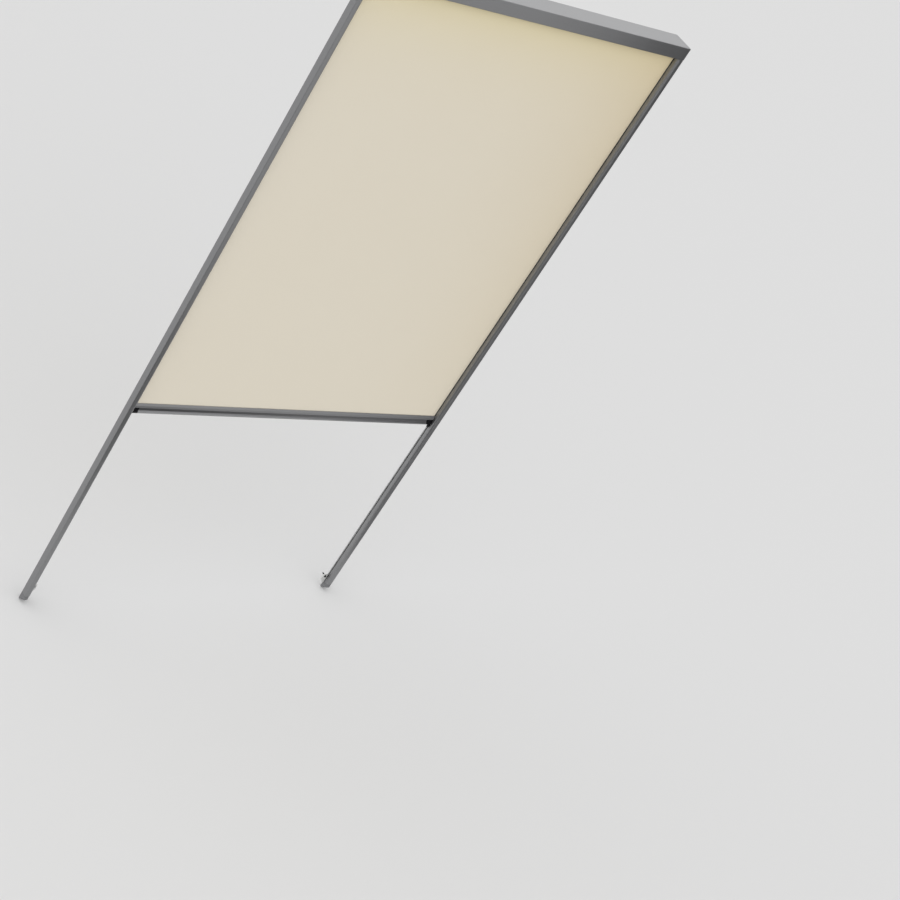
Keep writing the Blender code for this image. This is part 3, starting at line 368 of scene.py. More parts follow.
def plain_metal(colour, roughness):
    """Plated or drawn steel, with a faint mottle."""
    def paint(graph):
        mottle = graph.noise([STEEL_MOTTLE] * 3, detail=3.0)
        return {"Base Color": graph.mix(mottle, shade_of(colour, STEEL_DARKEST), colour),
                "Metallic": 1.0,
                "Roughness": roughness - 0.06 + 0.14 * mottle,
                "Normal": graph.bump(mottle, STEEL_RELIEF, edge=STEEL_EDGE)}
    return paint


add_look("plated_steel", "zinc_plated", plain_metal(ZINC, 0.30))
add_look("spring_steel", "dark_spring_wire", plain_metal(SPRING_WIRE, 0.34))

# %% [markdown]
# ## Moulded plastic
#
# The bar's end caps and the foot screws are black, the rails' feet grey, and the parts that slide
# or turn are a pale nylon that lets a little light in. Plastic takes the grain of its mould, which
# a fine noise in the bump gives. The pale one also gets a short Subsurface radius, because without
# it nylon looks like chalk. On the feet the lug is left pale, as it is in the photograph: a
# comparison of X with the rail's edge picks it out, so that no second piece is needed.

# %% Plastic
BLACK = (0.003, 0.003, 0.004, 1.0)
NYLON = (0.70, 0.69, 0.66, 1.0)
FOOT_GREY = (0.150, 0.151, 0.156, 1.0)
LUG_PALE = (0.55, 0.55, 0.54, 1.0)
LUG_END = 314.2 * MM
MOULD_GRAINS = 3600.0
MOULD_FLOW = 120.0
MOULD_LIGHTEST = 1.12
MOULD_RELIEF = 0.02 * MM
MOULD_BUMP = 0.6
MOULD_EDGE = 0.15 * MM
GLOW_REACH = (0.8 * MM, 0.7 * MM, 0.6 * MM)


def moulded(colour, roughness, glow=0.0, shine=0.5):
    """Moulded plastic with the fine grain of its mould."""
    def paint(graph):
        grain = graph.noise([MOULD_GRAINS] * 3, detail=1.0)
        flow = graph.noise([MOULD_FLOW] * 3)
        lightest = shade_of(colour, MOULD_LIGHTEST)
        return {"Base Color": graph.mix(0.3 * grain + 0.5 * flow, colour, lightest),
                "Roughness": roughness - 0.05 + 0.1 * grain,
                "Specular IOR Level": shine,
                "Subsurface Weight": glow,
                "Subsurface Radius": GLOW_REACH,
                "Subsurface Scale": 1.0,
                "Normal": graph.bump(grain, MOULD_RELIEF, MOULD_BUMP, edge=MOULD_EDGE)}
    return paint


def foot_plastic(graph):
    """Grey plastic that is left pale on the lug, inside the rail's edge."""
    across, _, _ = graph.split(graph.place())
    grain = graph.noise([MOULD_GRAINS] * 3, detail=1.0)
    on_lug = across.math("ABSOLUTE").math("LESS_THAN", LUG_END)
    return {"Base Color": graph.mix(on_lug, FOOT_GREY, LUG_PALE),
            "Roughness": 0.45 + 0.1 * grain,
            "Normal": graph.bump(grain, MOULD_RELIEF, MOULD_BUMP, edge=MOULD_EDGE)}


add_look("black_plastic", "moulded_black", moulded(BLACK, 0.46, shine=0.12))
add_look("pale_plastic", "moulded_pale", moulded(NYLON, 0.42, glow=0.2))
add_look("grey_plastic", "moulded_grey", foot_plastic)

# %% [markdown]
# ## Pile
#
# Brush and pile seals keep light out: a dark one under the casing, and one on each side of the
# cloth in each rail. Pile is thousands of fibres, none quite like the next. The fibres themselves
# come later, and their colour changes from one to the next by a noise about as fine as they are.

# %% Pile
TUFTS = 2600.0
BLACK_PILE = ((0.012, 0.010, 0.009, 1.0), (0.050, 0.040, 0.032, 1.0))
GREY_PILE = ((0.220, 0.218, 0.214, 1.0), (0.420, 0.416, 0.408, 1.0))
PALE_PILE = ((0.420, 0.418, 0.410, 1.0), (0.640, 0.636, 0.625, 1.0))


def pile(darkest, lightest):
    """Pile: each fibre is a little lighter or darker than the next."""
    def paint(graph):
        tuft = graph.noise([TUFTS] * 3, detail=1.0)
        return {"Base Color": graph.mix(tuft, darkest, lightest),
                "Roughness": 0.9,
                "Sheen Weight": 0.25,
                "Sheen Roughness": 0.5}
    return paint


add_look("dark_pile", "dark_pile_fibre", pile(*BLACK_PILE))
add_look("grey_pile", "grey_pile_fibre", pile(*GREY_PILE))
add_look("pale_pile", "pale_pile_fibre", pile(*PALE_PILE))

# %% [markdown]
# ## Braided cord
#
# A tension cord is a braid: some strands wind round it one way and some the other, over and under.
# Modelling the strands of 0.8 mm cord would cost thousands of faces that nobody could see. Instead
# the cord's mesh carries two attributes, how far along the cord a point is and where round it. Two
# sine waves that climb in opposite directions, multiplied, give the diamonds of a braid, and they
# follow the cord round every bend.

# %% Braid
BRAID_STEP = 2.4 * MM
BRAID_STRANDS = 4
BRAID_DARK = (0.40, 0.39, 0.36, 1.0)
BRAID_LIGHT = (0.62, 0.61, 0.57, 1.0)
BRAID_FUZZ = 7000.0
BRAID_RELIEF = 0.05 * MM


def braid(graph):
    """Two sets of strands that wind round the cord in opposite directions."""
    along = graph.node("ShaderNodeAttribute", {"attribute_name": "along"}, output="Fac")
    ring = graph.node("ShaderNodeAttribute", {"attribute_name": "ring"}, output="Vector")
    across, up, _ = graph.split(ring)
    turn = up.math("ARCTAN2", across)
    climb = along * (2 * math.pi / BRAID_STEP)
    one_way = (BRAID_STRANDS * turn + climb).math("SINE")
    other_way = (BRAID_STRANDS * turn - climb).math("SINE")
    strand = 0.5 + 0.5 * one_way * other_way
    fuzz = graph.noise([BRAID_FUZZ] * 3)
    return {"Base Color": graph.mix(0.7 * strand + 0.3 * fuzz, BRAID_DARK, BRAID_LIGHT),
            "Roughness": 0.75,
            "Sheen Weight": 0.2,
            "Normal": graph.bump(strand, BRAID_RELIEF)}


add_look("braided_cord", "braid", braid)

# %% [markdown]
# ## Blackout cloth
#
# The cloth is a plain weave with a smooth coat, beige, and so dense that no light comes through.
# Its threads are 0.42 mm apart, so from here they only take the shine off, and sine waves across
# and up give them in the bump. Slubs, which are thicker bits of thread, come from noise stretched
# one way and the other. The photograph's cloth is warmer below the casing and darker beside the
# right rail, as cloth that is hemmed in by other surfaces is. That is painted shade, mixed in by
# two exponential curves, because such shade fades with distance like that. A near-black strip along
# each edge of the cloth, where it enters the rail, is a painted shadow of the gap there and shows
# as the black line beside it.

# %% Cloth
CLOTH = (0.712, 0.661, 0.558, 1.0)
# Painted shade tones: warm below the casing, and darker beside the right rail. The darker one is
# also the cloth's random darker tone.
CLOTH_SHADE_WARM = (0.700, 0.589, 0.266, 1.0)
CLOTH_DARK_TONE_AND_SHADE = (0.571, 0.459, 0.271, 1.0)
CLOTH_TOP = -28.0 * MM
CLOTH_HALF_WIDTH = 314.5 * MM
THREAD_STEP = 0.42 * MM
# Painted shadow of the gap where the cloth's side edges enter the rails.
EDGE_SHADOW = (0.022, 0.020, 0.018, 1.0)
EDGE_SHADOW_START = 313.1 * MM
WARM_SHADE = 0.50
WARM_SHADE_REACH = 60.0 * MM
SHADE_AT_TOP = 0.58
SHADE_LOST_PER_METRE = 0.60
SHADE_REACH = 150.0 * MM
SLUB_ALONG, SLUB_ACROSS = 45.0, 1600.0
CLOTH_CLOUDS = 4.0
WEAVE_RELIEF = 0.02 * MM
WEAVE_BUMP = 0.7


def with_painted_shade(graph, colour, across, up):
    """The cloth's colour with painted shade, warmer below the casing and darker beside the right
    rail.
    """
    # Painted shade, warm below the casing and dark beside the right rail, fading with distance.
    below = CLOTH_TOP - up
    warm_shade_share = WARM_SHADE * (-1.0 / WARM_SHADE_REACH * below).math("EXPONENT")
    from_rail = CLOTH_HALF_WIDTH - across
    at_rail = SHADE_AT_TOP - SHADE_LOST_PER_METRE * below
    shade = at_rail * (-1.0 / SHADE_REACH * from_rail).math("EXPONENT")
    return graph.mix(shade, graph.mix(warm_shade_share, colour, CLOTH_SHADE_WARM), CLOTH_DARK_TONE_AND_SHADE)


def cloth(shaded):
    """Plain-woven blackout cloth, with a painted shadow along its side edges."""
    def paint(graph):
        across, _, up = graph.split(graph.place())
        weft = (2 * math.pi / THREAD_STEP * across).math("SINE")
        warp = (2 * math.pi / THREAD_STEP * up).math("SINE")
        weave = 0.5 + 0.5 * weft * warp
        in_weft = graph.noise([SLUB_ALONG, SLUB_ALONG, SLUB_ACROSS])
        in_warp = graph.noise([SLUB_ACROSS, SLUB_ALONG, SLUB_ALONG])
        slub = in_weft * 0.5 + in_warp * 0.5
        uneven = 0.05 * slub + 0.06 * graph.noise([CLOTH_CLOUDS] * 3, detail=1.0)
        colour = graph.mix(uneven, CLOTH, CLOTH_DARK_TONE_AND_SHADE)
        if shaded:
            # painted shade below the casing and beside the right rail
            colour = with_painted_shade(graph, colour, across, up)
        # Painted shadow: a near-black strip along each side edge stands for the gap where the cloth
        # enters the rail.
        in_edge_shadow = across.math("ABSOLUTE").math("GREATER_THAN", EDGE_SHADOW_START)
        return {"Base Color": graph.mix(in_edge_shadow, colour, EDGE_SHADOW),
                "Roughness": 0.88,
                "Specular IOR Level": 0.25,
                "Sheen Weight": 0.12,
                "Sheen Roughness": 0.6,
                "Normal": graph.bump(0.7 * weave + 0.5 * slub, WEAVE_RELIEF, WEAVE_BUMP)}
    return paint


# The hanging cloth gets painted shade. Both cloths get the painted shadow along their edges.
add_look("blind_cloth", "woven_cloth_painted_shade", cloth(shaded=True))
add_look("wound_cloth", "roller_cloth_painted_edge_shadow", cloth(shaded=False))

# %% [markdown]
# ## Putting a piece in a CAD node's place
#
# Each CAD node knows its body, such as the fixed frame or the sliding bar, and its material slot. A
# piece that stands for a node takes both from it, so that nothing has to be typed twice, and the
# node itself is hidden behind the piece.

# %% Bodies and slots
def body_of(node):
    """Name of the body that carries a CAD node."""
    return frame["nodes"][node]["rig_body"]


def slot_of(node):
    """Name of a CAD node's material slot."""
    return frame["nodes"][node].data.materials[0].name


def middle(node):
    """Centre of a CAD node's box."""
    low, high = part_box(node)
    return (low + high) / 2


def stands_for(piece, node, look=None):
    """Hides a CAD node behind the piece, which rides where the node does."""
    slot = slot_of(node)
    piece.data.materials.clear()
    piece.data.materials.append(looks[look or slot])
    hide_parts(node)
    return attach(piece, body_of(node))


print(f"{len(frame['nodes'])} CAD nodes on {len(set(map(body_of, frame['nodes'])))} bodies")

# %% [markdown]
# ## Housing, rails, bar and small parts
#
# The CAD shapes of these are already right, so they could be shown as they are. But a CAD mesh is
# loose triangles, and each would be shaded flat: the rail's rounded nose would show its facets. A
# copy with its points merged and its flat regions joined takes smooth shading, with an edge kept
# crisp wherever two faces meet at more than 32 degrees. The Weighted Normal modifier then keeps
# wide flat faces flat beside their rounded edges.

# %% A smooth copy of a CAD node
SHARP_ANGLE = math.radians(32)
FLAT_ANGLE = math.radians(0.5)
WELD = 0.001 * MM


def linked(name, mesh):
    """A new object of the scene."""
    made = bpy.data.objects.new(name, mesh)
    bpy.context.collection.objects.link(made)
    return made


def smooth_mesh(node):
    """A CAD node's shape with joined faces, smooth where it is round and crisp where it isn't."""
    bm = bmesh.new()
    bm.from_mesh(frame["nodes"][node].data)
    bmesh.ops.remove_doubles(bm, verts=bm.verts, dist=WELD)
    bmesh.ops.dissolve_limit(bm, angle_limit=FLAT_ANGLE, verts=bm.verts, edges=bm.edges)
    mesh = bpy.data.meshes.new(f"{node}_look")
    bm.to_mesh(mesh)
    bm.free()
    mesh.shade_smooth()
    mesh.set_sharp_from_angle(angle=SHARP_ANGLE)
    return mesh


def evaluated(thing):
    """The thing's mesh with its modifiers applied."""
    depsgraph = bpy.context.evaluated_depsgraph_get()
    return bpy.data.meshes.new_from_object(thing.evaluated_get(depsgraph), depsgraph=depsgraph)


def smooth_piece(node):
    """A smooth copy whose wide flat faces stay flat beside their rounded edges."""
    piece = linked(f"{node}_look", smooth_mesh(node))
    modifier = piece.modifiers.new("flat faces", "WEIGHTED_NORMAL")
    modifier.keep_sharp = True
    mesh = evaluated(piece)
    piece.modifiers.clear()
    piece.data = mesh
    return piece


# %% Copy the pieces whose CAD shape is right
OWN_FINISH = {"side_rail_left": "anodised_upright", "side_rail_right": "anodised_upright",
              "bottom_bar": "anodised_bar_painted_light"}
SMOOTH_NODES = [
    "head_casing", "casing_end_cap_left", "casing_end_cap_right", "rail_foot_left",
    "rail_foot_right", "bottom_bar", "fabric_keeper", "bar_end_cap_left", "bar_end_cap_right",
    "bar_glide_left", "bar_glide_right", "roller_tube", "roller_plug_left", "roller_plug_right",
    "spring_fixed_collar", "spring_drive_plug", "spring_shaft", "idle_pin", "cord_ferrule_left",
    "cord_ferrule_right", "side_rail_left", "side_rail_right",
]
for side in SIDES:
    for level in ("upper", "lower"):
        SMOOTH_NODES += [f"pulley_{side}_{level}", f"pulley_pin_{side}_{level}"]

for node in SMOOTH_NODES:
    stands_for(smooth_piece(node), node, OWN_FINISH.get(node))
print(f"{len(SMOOTH_NODES)} smooth copies")

# %% [markdown]
# ## Node groups that make shapes
#
# What repeats, or follows a path, is made by Geometry Nodes: one tree with named sizes serves every
# spring, every cord or every seal. Each tree ends by turning its instances into real faces and
# giving them their material, since an exported file keeps neither instances nor modifiers. The
# result is taken as a plain mesh, and the object that carried the tree is thrown away.

# %% A group, and a mesh grown by it
def group(name, inputs, build):
    """A geometry node group with named inputs, which ends by setting its material."""
    tree = bpy.data.node_groups.new(name, "GeometryNodeTree")
    tree.interface.new_socket("Geometry", in_out="OUTPUT", socket_type="NodeSocketGeometry")
    for label, kind in {**inputs, "Material": "Material"}.items():
        tree.interface.new_socket(label, in_out="INPUT", socket_type=f"NodeSocket{kind}")
    graph = Graph(tree)
    entry = graph.node("NodeGroupInput").node
    given = {label: Wire(graph, entry, label) for label in (*inputs, "Material")}
    whole = graph.node("GeometryNodeRealizeInstances", sockets={"Geometry": build(graph, given)})
    finished = graph.node("GeometryNodeSetMaterial", sockets={
        "Geometry": whole, "Material": given["Material"]})
    graph.node("NodeGroupOutput", sockets={"Geometry": finished})
    print(f"Group {name}: {len(tree.nodes)} nodes")
    return tree


def grown(name, tree, values, data=None):
    """A plain mesh object made by a node group, whose inputs are given by name."""
    seed = linked(f"{name}_seed", data or bpy.data.meshes.new(name))
    modifier = seed.modifiers.new(tree.name, "NODES")
    modifier.node_group = tree
    for socket in tree.interface.items_tree:
        if socket.in_out == "INPUT" and socket.name in values:
            modifier[socket.identifier] = values[socket.name]
    mesh = evaluated(seed)
    bpy.data.objects.remove(seed, do_unlink=True)
    print(f"{name}: {len(mesh.polygons)} faces")
    return linked(name, mesh)


# %% [markdown]
# ## Screws
#
# Four screws hold the casing's end caps and two the feet. The CAD screws have plain heads, and the
# real ones a cross recess. A bump could paint the cross, but it would be missing from the mesh
# itself, so a node group cuts it: two tapering slots, one turned by a quarter, are taken out of the
# head. The screw is first laid with its head at the origin and its tip down, so that one group fits
# all six, and then put back.

# %% The cross recess
RECESS_SPAN = 2.6 * MM
RECESS_WIDTH = 0.85 * MM
RECESS_DEPTH = 0.9 * MM
RECESS_TAPER = 0.45


def cross_recess(graph, given):
    taper = graph.node("GeometryNodeMeshCone", sockets={
        "Vertices": 4, "Radius Top": 1.0, "Radius Bottom": RECESS_TAPER,
        "Depth": 2.0 * given["Depth"]})
    sunk = graph.node("ShaderNodeCombineXYZ", sockets={2: 0.0 - given["Depth"]})
    size = graph.node("ShaderNodeCombineXYZ", sockets={
        0: 0.5 * given["Span"], 1: 0.5 * given["Width"], 2: 1.0})
    slot = graph.node("GeometryNodeTransform", sockets={
        "Geometry": taper, "Translation": sunk, "Scale": size})
    other = graph.node("GeometryNodeTransform", sockets={
        "Geometry": slot, "Rotation": (0.0, 0.0, math.pi / 2)})
    head = given["Screw"]
    for tool in (slot, other):
        head = graph.node("GeometryNodeMeshBoolean", {"operation": "DIFFERENCE", "solver": "EXACT"},
                          {"Mesh 1": head, "Mesh 2": tool})
    return head


recess_group = group("cross recess", {"Screw": "Geometry", "Span": "Float", "Width": "Float",
                                      "Depth": "Float"}, cross_recess)


# %% Cut the six screws
def make_screw(node, head, inward):
    """A screw whose head, at the place given, gets a recess along the way it goes in."""
    axes = Matrix.Translation(head) @ Vector(inward).to_track_quat("-Z", "X").to_matrix().to_4x4()
    blank = smooth_mesh(node)
    blank.transform(axes.inverted())
    piece = grown(f"{node}_look", recess_group, {
        "Span": RECESS_SPAN, "Width": RECESS_WIDTH, "Depth": RECESS_DEPTH,
        "Material": looks[slot_of(node)]}, blank)
    piece.data.transform(axes)
    piece.data.set_sharp_from_angle(angle=SHARP_ANGLE)
    stands_for(piece, node)


for side, sign in SIDES.items():
    for level in ("upper", "lower"):
        node = f"casing_screw_{side}_{level}"
        low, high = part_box(node)
        head = middle(node)
        head.x = high.x if sign > 0 else low.x
        make_screw(node, head, (-sign, 0, 0))
    node = f"foot_screw_{side}"
    head = middle(node)
    head.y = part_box(node)[0].y
    make_screw(node, head, (0, 1, 0))

# %% [markdown]
# ## Springs
#
# A long torsion spring inside the roller winds the cloth up, and a small one at the foot of each
# rail keeps its cord taut. The CAD coils have a few wide turns. A spiral curve with a round section
# swept along it gives the close turns of the real ones, and its radius, turns and wire are inputs,
# so that both kinds come from one group. The coil is fitted to the box of the CAD node.

# %% The coil
def coil(graph, given):
    path = graph.node("GeometryNodeCurveSpiral", sockets={
        "Resolution": given["Points"], "Rotations": given["Turns"], "Start Radius": given["Radius"],
        "End Radius": given["Radius"], "Height": given["Length"]})
    section = graph.node("GeometryNodeCurvePrimitiveCircle", sockets={
        "Resolution": given["Sides"], "Radius": given["Wire radius"]})
    wire = graph.node("GeometryNodeCurveToMesh", sockets={
        "Curve": path, "Profile Curve": section, "Fill Caps": True})
    return graph.node("GeometryNodeSetShadeSmooth", sockets={"Geometry": wire})


coil_group = group("coil", {"Points": "Int", "Turns": "Float", "Radius": "Float", "Length": "Float",
                            "Wire radius": "Float", "Sides": "Int"}, coil)


# %% Wind the three springs
ROLLER_SPRING_TURNS = 170
ROLLER_SPRING_WIRE = 0.6 * MM
CORD_SPRING_TURNS = 22
CORD_SPRING_WIRE = 0.25 * MM
ROLLER_SPRING_POINTS = 14
CORD_SPRING_POINTS = 16
WIRE_SIDES = 6


def make_spring(node, along, turns, points, wire_radius):
    """A coil that fills the space of the CAD node's plainer coil."""
    low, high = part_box(node)
    span = high - low
    piece = grown(f"{node}_look", coil_group, {
        "Points": points, "Turns": float(turns), "Radius": min(span) / 2 - wire_radius,
        "Length": max(span) - 2 * wire_radius, "Wire radius": wire_radius, "Sides": WIRE_SIDES,
        "Material": looks["spring_steel"]})
    start = middle(node) - Vector(along) * (max(span) / 2 - wire_radius)
    turn = Vector(along).to_track_quat("Z", "Y").to_matrix().to_4x4()
    piece.data.transform(Matrix.Translation(start) @ turn)
    stands_for(piece, node)


make_spring("roller_spring", (1, 0, 0), ROLLER_SPRING_TURNS, ROLLER_SPRING_POINTS,
            ROLLER_SPRING_WIRE)
for side in SIDES:
    make_spring(f"cord_spring_{side}", (0, 0, 1), CORD_SPRING_TURNS, CORD_SPRING_POINTS,
                CORD_SPRING_WIRE)

# %% [markdown]
# ## Brush and pile seals
#
# A seal is rows of short fibres on a thin backing. Hair particles would make them, but they can't
# be exported as a mesh. Here a grid of points is shaken a little, and each point gets a thin cone
# that leans its own way and has its own length. The seed is fixed, so that the same brush comes out
# each time, and each cone has only three sides and two ends, because there are thousands.

# %% Fibres on a bed of points
FIBRE_SIDES = 3
FIBRE_TIP = 0.4
FIBRE_SHORTEST = 0.82


def bristles(graph, given):
    bed = graph.node("GeometryNodeMeshGrid", sockets={
        "Size X": given["Length"], "Size Y": given["Width"],
        "Vertices X": given["Columns"], "Vertices Y": given["Rows"]})
    shift = given["Scatter"]
    scatter = graph.node("ShaderNodeCombineXYZ", sockets={0: shift, 1: shift})
    back = graph.node("ShaderNodeCombineXYZ", sockets={0: 0.0 - shift, 1: 0.0 - shift})
    wander = graph.node("FunctionNodeRandomValue", {"data_type": "FLOAT_VECTOR"},
                        {0: back, 1: scatter, 8: given["Seed"]})
    bed = graph.node("GeometryNodeSetPosition", sockets={"Geometry": bed, "Offset": wander})
    fibre = graph.node("GeometryNodeMeshCone", {"fill_type": "NGON"}, {
        "Vertices": FIBRE_SIDES, "Radius Top": given["Fibre radius"] * FIBRE_TIP,
        "Radius Bottom": given["Fibre radius"], "Depth": given["Fibre length"]})
    lean = given["Lean"]
    least = graph.node("ShaderNodeCombineXYZ", sockets={0: 0.0 - lean, 1: 0.0 - lean, 2: 0.0})
    most = graph.node("ShaderNodeCombineXYZ", sockets={0: lean, 1: lean, 2: 2 * math.pi})
    turn = graph.node("FunctionNodeRandomValue", {"data_type": "FLOAT_VECTOR"},
                      {0: least, 1: most, 8: given["Seed"] + 1})
    turn = graph.node("FunctionNodeEulerToRotation", sockets={0: turn})
    size = graph.node("FunctionNodeRandomValue", {"data_type": "FLOAT"},
                      {2: FIBRE_SHORTEST, 3: 1.0, 8: given["Seed"] + 2}, output=1)
    return graph.node("GeometryNodeInstanceOnPoints", sockets={
        "Points": bed, "Instance": fibre, "Rotation": turn, "Scale": size})


bristle_group = group("bristles", {
    "Length": "Float", "Width": "Float", "Columns": "Int", "Rows": "Int", "Scatter": "Float",
    "Fibre length": "Float", "Fibre radius": "Float", "Lean": "Float", "Seed": "Int"}, bristles)


# %% A strip of pile in a CAD node's box
NARROWEST_BED = 0.2


def add_backing(mesh, axes, root, size):
    """Adds the strip that the fibres stand on, whose outer face goes through root."""
    bm = bmesh.new()
    bm.from_mesh(mesh)
    strip = bmesh.ops.create_cube(bm, size=1.0)["verts"]
    bmesh.ops.transform(bm, matrix=axes @ Matrix.Diagonal((*size, 1.0)), verts=strip)
    bmesh.ops.translate(bm, verts=strip, vec=root - axes.col[2].xyz * size[2] / 2)
    bm.to_mesh(mesh)
    bm.free()


def make_pile(node, towards, along, spacing, rows, backing, fibre_radius, lean, seed, look=None):
    """Fibres on a backing strip, inside the CAD node's box. towards is where the fibres point."""
    low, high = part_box(node)
    side_way = Vector(towards).cross(Vector(along))
    ways = (towards, side_way, along)
    reach, width, length = (abs((high - low).dot(Vector(way))) for way in ways)
    margin = 2 * fibre_radius + reach * math.sin(lean)
    piece = grown(f"{node}_look", bristle_group, {
        "Length": length - 2 * margin,
        "Width": max(width - 2 * margin, width * NARROWEST_BED),
        "Columns": int(length / spacing), "Rows": rows, "Scatter": spacing / 4,
        "Fibre length": reach - backing, "Fibre radius": fibre_radius, "Lean": lean, "Seed": seed,
        "Material": looks[look or slot_of(node)]})
    axes = Matrix((Vector(along), side_way, Vector(towards))).transposed().to_4x4()
    root = middle(node) - Vector(towards) * (reach / 2 - backing)
    piece.data.transform(Matrix.Translation(root) @ axes)
    add_backing(piece.data, axes, root, (length, width, backing))
    stands_for(piece, node, look)


# %% Make the five seals
make_pile("casing_brush_strip", (0, 1, 0), (1, 0, 0), spacing=0.45 * MM, rows=3, backing=1.0 * MM,
          fibre_radius=0.11 * MM, lean=math.radians(4), seed=3)

for number, side in enumerate(SIDES):
    for place, way in {"front": 1, "back": -1}.items():
        make_pile(f"rail_seal_{side}_{place}", (0, way, 0), (0, 0, 1), spacing=0.7 * MM, rows=2,
                  backing=0.2 * MM, fibre_radius=0.10 * MM, lean=math.radians(6),
                  seed=11 + 4 * number + way, look="pale_pile" if place == "back" else None)

# %% [markdown]
# ## Tension cords
#
# Two cords cross inside the bar, over small pulleys at its ends, so that the bar stays level
# however it is pushed. In each rail a cord runs straight from the casing to the spring at the foot.
# A curve with a bevel would give a round cord, but not a braid that follows it. This group sweeps a
# circle along the path and stores the two numbers that the braid's material reads.

# %% A section swept along a path
def swept(graph, given):
    reach = graph.node("GeometryNodeSplineParameter", output="Length")
    path = graph.node("GeometryNodeStoreNamedAttribute", {
        "data_type": "FLOAT", "domain": "POINT"}, {
        "Geometry": given["Path"], "Name": "along", "Value": reach})
    section = graph.node("GeometryNodeCurvePrimitiveCircle", sockets={
        "Resolution": given["Sides"], "Radius": given["Radius"]})
    corner = graph.node("GeometryNodeInputPosition")
    section = graph.node("GeometryNodeStoreNamedAttribute", {
        "data_type": "FLOAT_VECTOR", "domain": "POINT"}, {
        "Geometry": section, "Name": "ring", "Value": corner})
    skin = graph.node("GeometryNodeCurveToMesh", sockets={
        "Curve": path, "Profile Curve": section, "Fill Caps": True})
    return graph.node("GeometryNodeSetShadeSmooth", sockets={"Geometry": skin})


cord_group = group("cord", {"Path": "Geometry", "Sides": "Int", "Radius": "Float"}, swept)

# %% The straight cords in the rails
CORD_RADIUS = 0.4 * MM
CORD_SIDES = 10
RAIL_CORD_STEPS = 60


def make_cord(node, points):
    """A braided cord along points in the blind's frame."""
    curve = bpy.data.curves.new(f"{node}_path", "CURVE")
    curve.dimensions = "3D"
    spline = curve.splines.new("POLY")
    spline.points.add(len(points) - 1)
    for point, spot in zip(spline.points, points):
        point.co = (*spot, 1.0)
    piece = grown(f"{node}_look", cord_group, {
        "Sides": CORD_SIDES, "Radius": CORD_RADIUS, "Material": looks["braided_cord"]}, curve)
    stands_for(piece, node)
    print(f"{node}: {sum((b - a).length for a, b in zip(points, points[1:])) / MM:.0f} mm long")


for side in SIDES:
    node = f"tension_cord_{side}"
    low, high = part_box(node)
    steps = range(RAIL_CORD_STEPS + 1)
    levels = [low.z + (high.z - low.z) * step / RAIL_CORD_STEPS for step in steps]
    make_cord(node, [Vector((middle(node).x, middle(node).y, level)) for level in levels])

# %% The crossed cords in the bar
CLOTH_Y = -10.2 * MM
CORD_TURN_RADIUS = 2.65 * MM
CORD_WRAP = math.radians(30)
CORD_WRAP_STEPS = 6
TUNNEL_END_X = 291.2 * MM
LANE_START_X = 281.2 * MM
LANE_STEPS = 24
FRONT_LANE = -10.45 * MM
BACK_LANE = -9.35 * MM


def cord_turn(side, level):
    """The start of a cord's turn round one pulley, from the bar outwards."""
    axis = middle(f"pulley_{side}_{level}")
    down = -1 if level == "upper" else 1
    angles = [CORD_WRAP * step / CORD_WRAP_STEPS for step in range(CORD_WRAP_STEPS + 1)]
    return [Vector((axis.x + SIDES[side] * CORD_TURN_RADIUS * math.sin(angle), CLOTH_Y,
                    axis.z + down * CORD_TURN_RADIUS * math.cos(angle))) for angle in angles]


def make_crossing(node, upper_side, lower_side, lane):
    """A cord that crosses the bar from an upper pulley at one side to a lower one at the other."""
    first = cord_turn(upper_side, "upper")
    last = cord_turn(lower_side, "lower")
    tunnels = []
    for side, level in ((upper_side, first[0].z), (lower_side, last[0].z)):
        tunnels.append([Vector((SIDES[side] * TUNNEL_END_X, CLOTH_Y, level)),
                        Vector((SIDES[side] * LANE_START_X, lane, level))])
    run = tunnels[1][1] - tunnels[0][1]
    across = [tunnels[0][1] + run * step / LANE_STEPS for step in range(LANE_STEPS + 1)]
    make_cord(node, first[::-1] + tunnels[0][:1] + across + tunnels[1][:1] + last)


make_crossing("cross_cord_front", "right", "left", FRONT_LANE)
make_crossing("cross_cord_back", "left", "right", BACK_LANE)

# %% [markdown]
# ## The hanging cloth
#
# The roller pulls the cloth up, the bar holds its lower edge and the rails its sides, so it hangs
# flat and taut. Cloth simulation would only give the same flat sheet again, so it is a grid.
#
# When the bar slides, the cloth's lower edge goes with it and its upper edge stays, and each row
# between has to move by its own share. The blend between two bodies turns a distance into a smooth
# step, not a straight ramp. So each row is set back or forward by up to 0.1 mm, at just the
# distance for which that step gives the row its share. That shift is the inverse of the smooth
# step.

# %% Rows that each move by their own share
SHEET_TOP = -20.0 * MM
SHEET_BOTTOM = -790.8 * MM
SHEET_HALF_WIDTH = 317.0 * MM
SHEET_COLUMNS = 32
SHEET_ROWS = 64
SHEET_SHIFT = 0.2 * MM


def share_to_shift(share):
    """How far along the blend's path a row has to be for the bar's share in its movement."""
    return 0.5 - math.sin(math.asin(1.0 - 2.0 * share) / 3.0)


print("Shift of the row a quarter of the way down:", round(share_to_shift(0.25), 3))


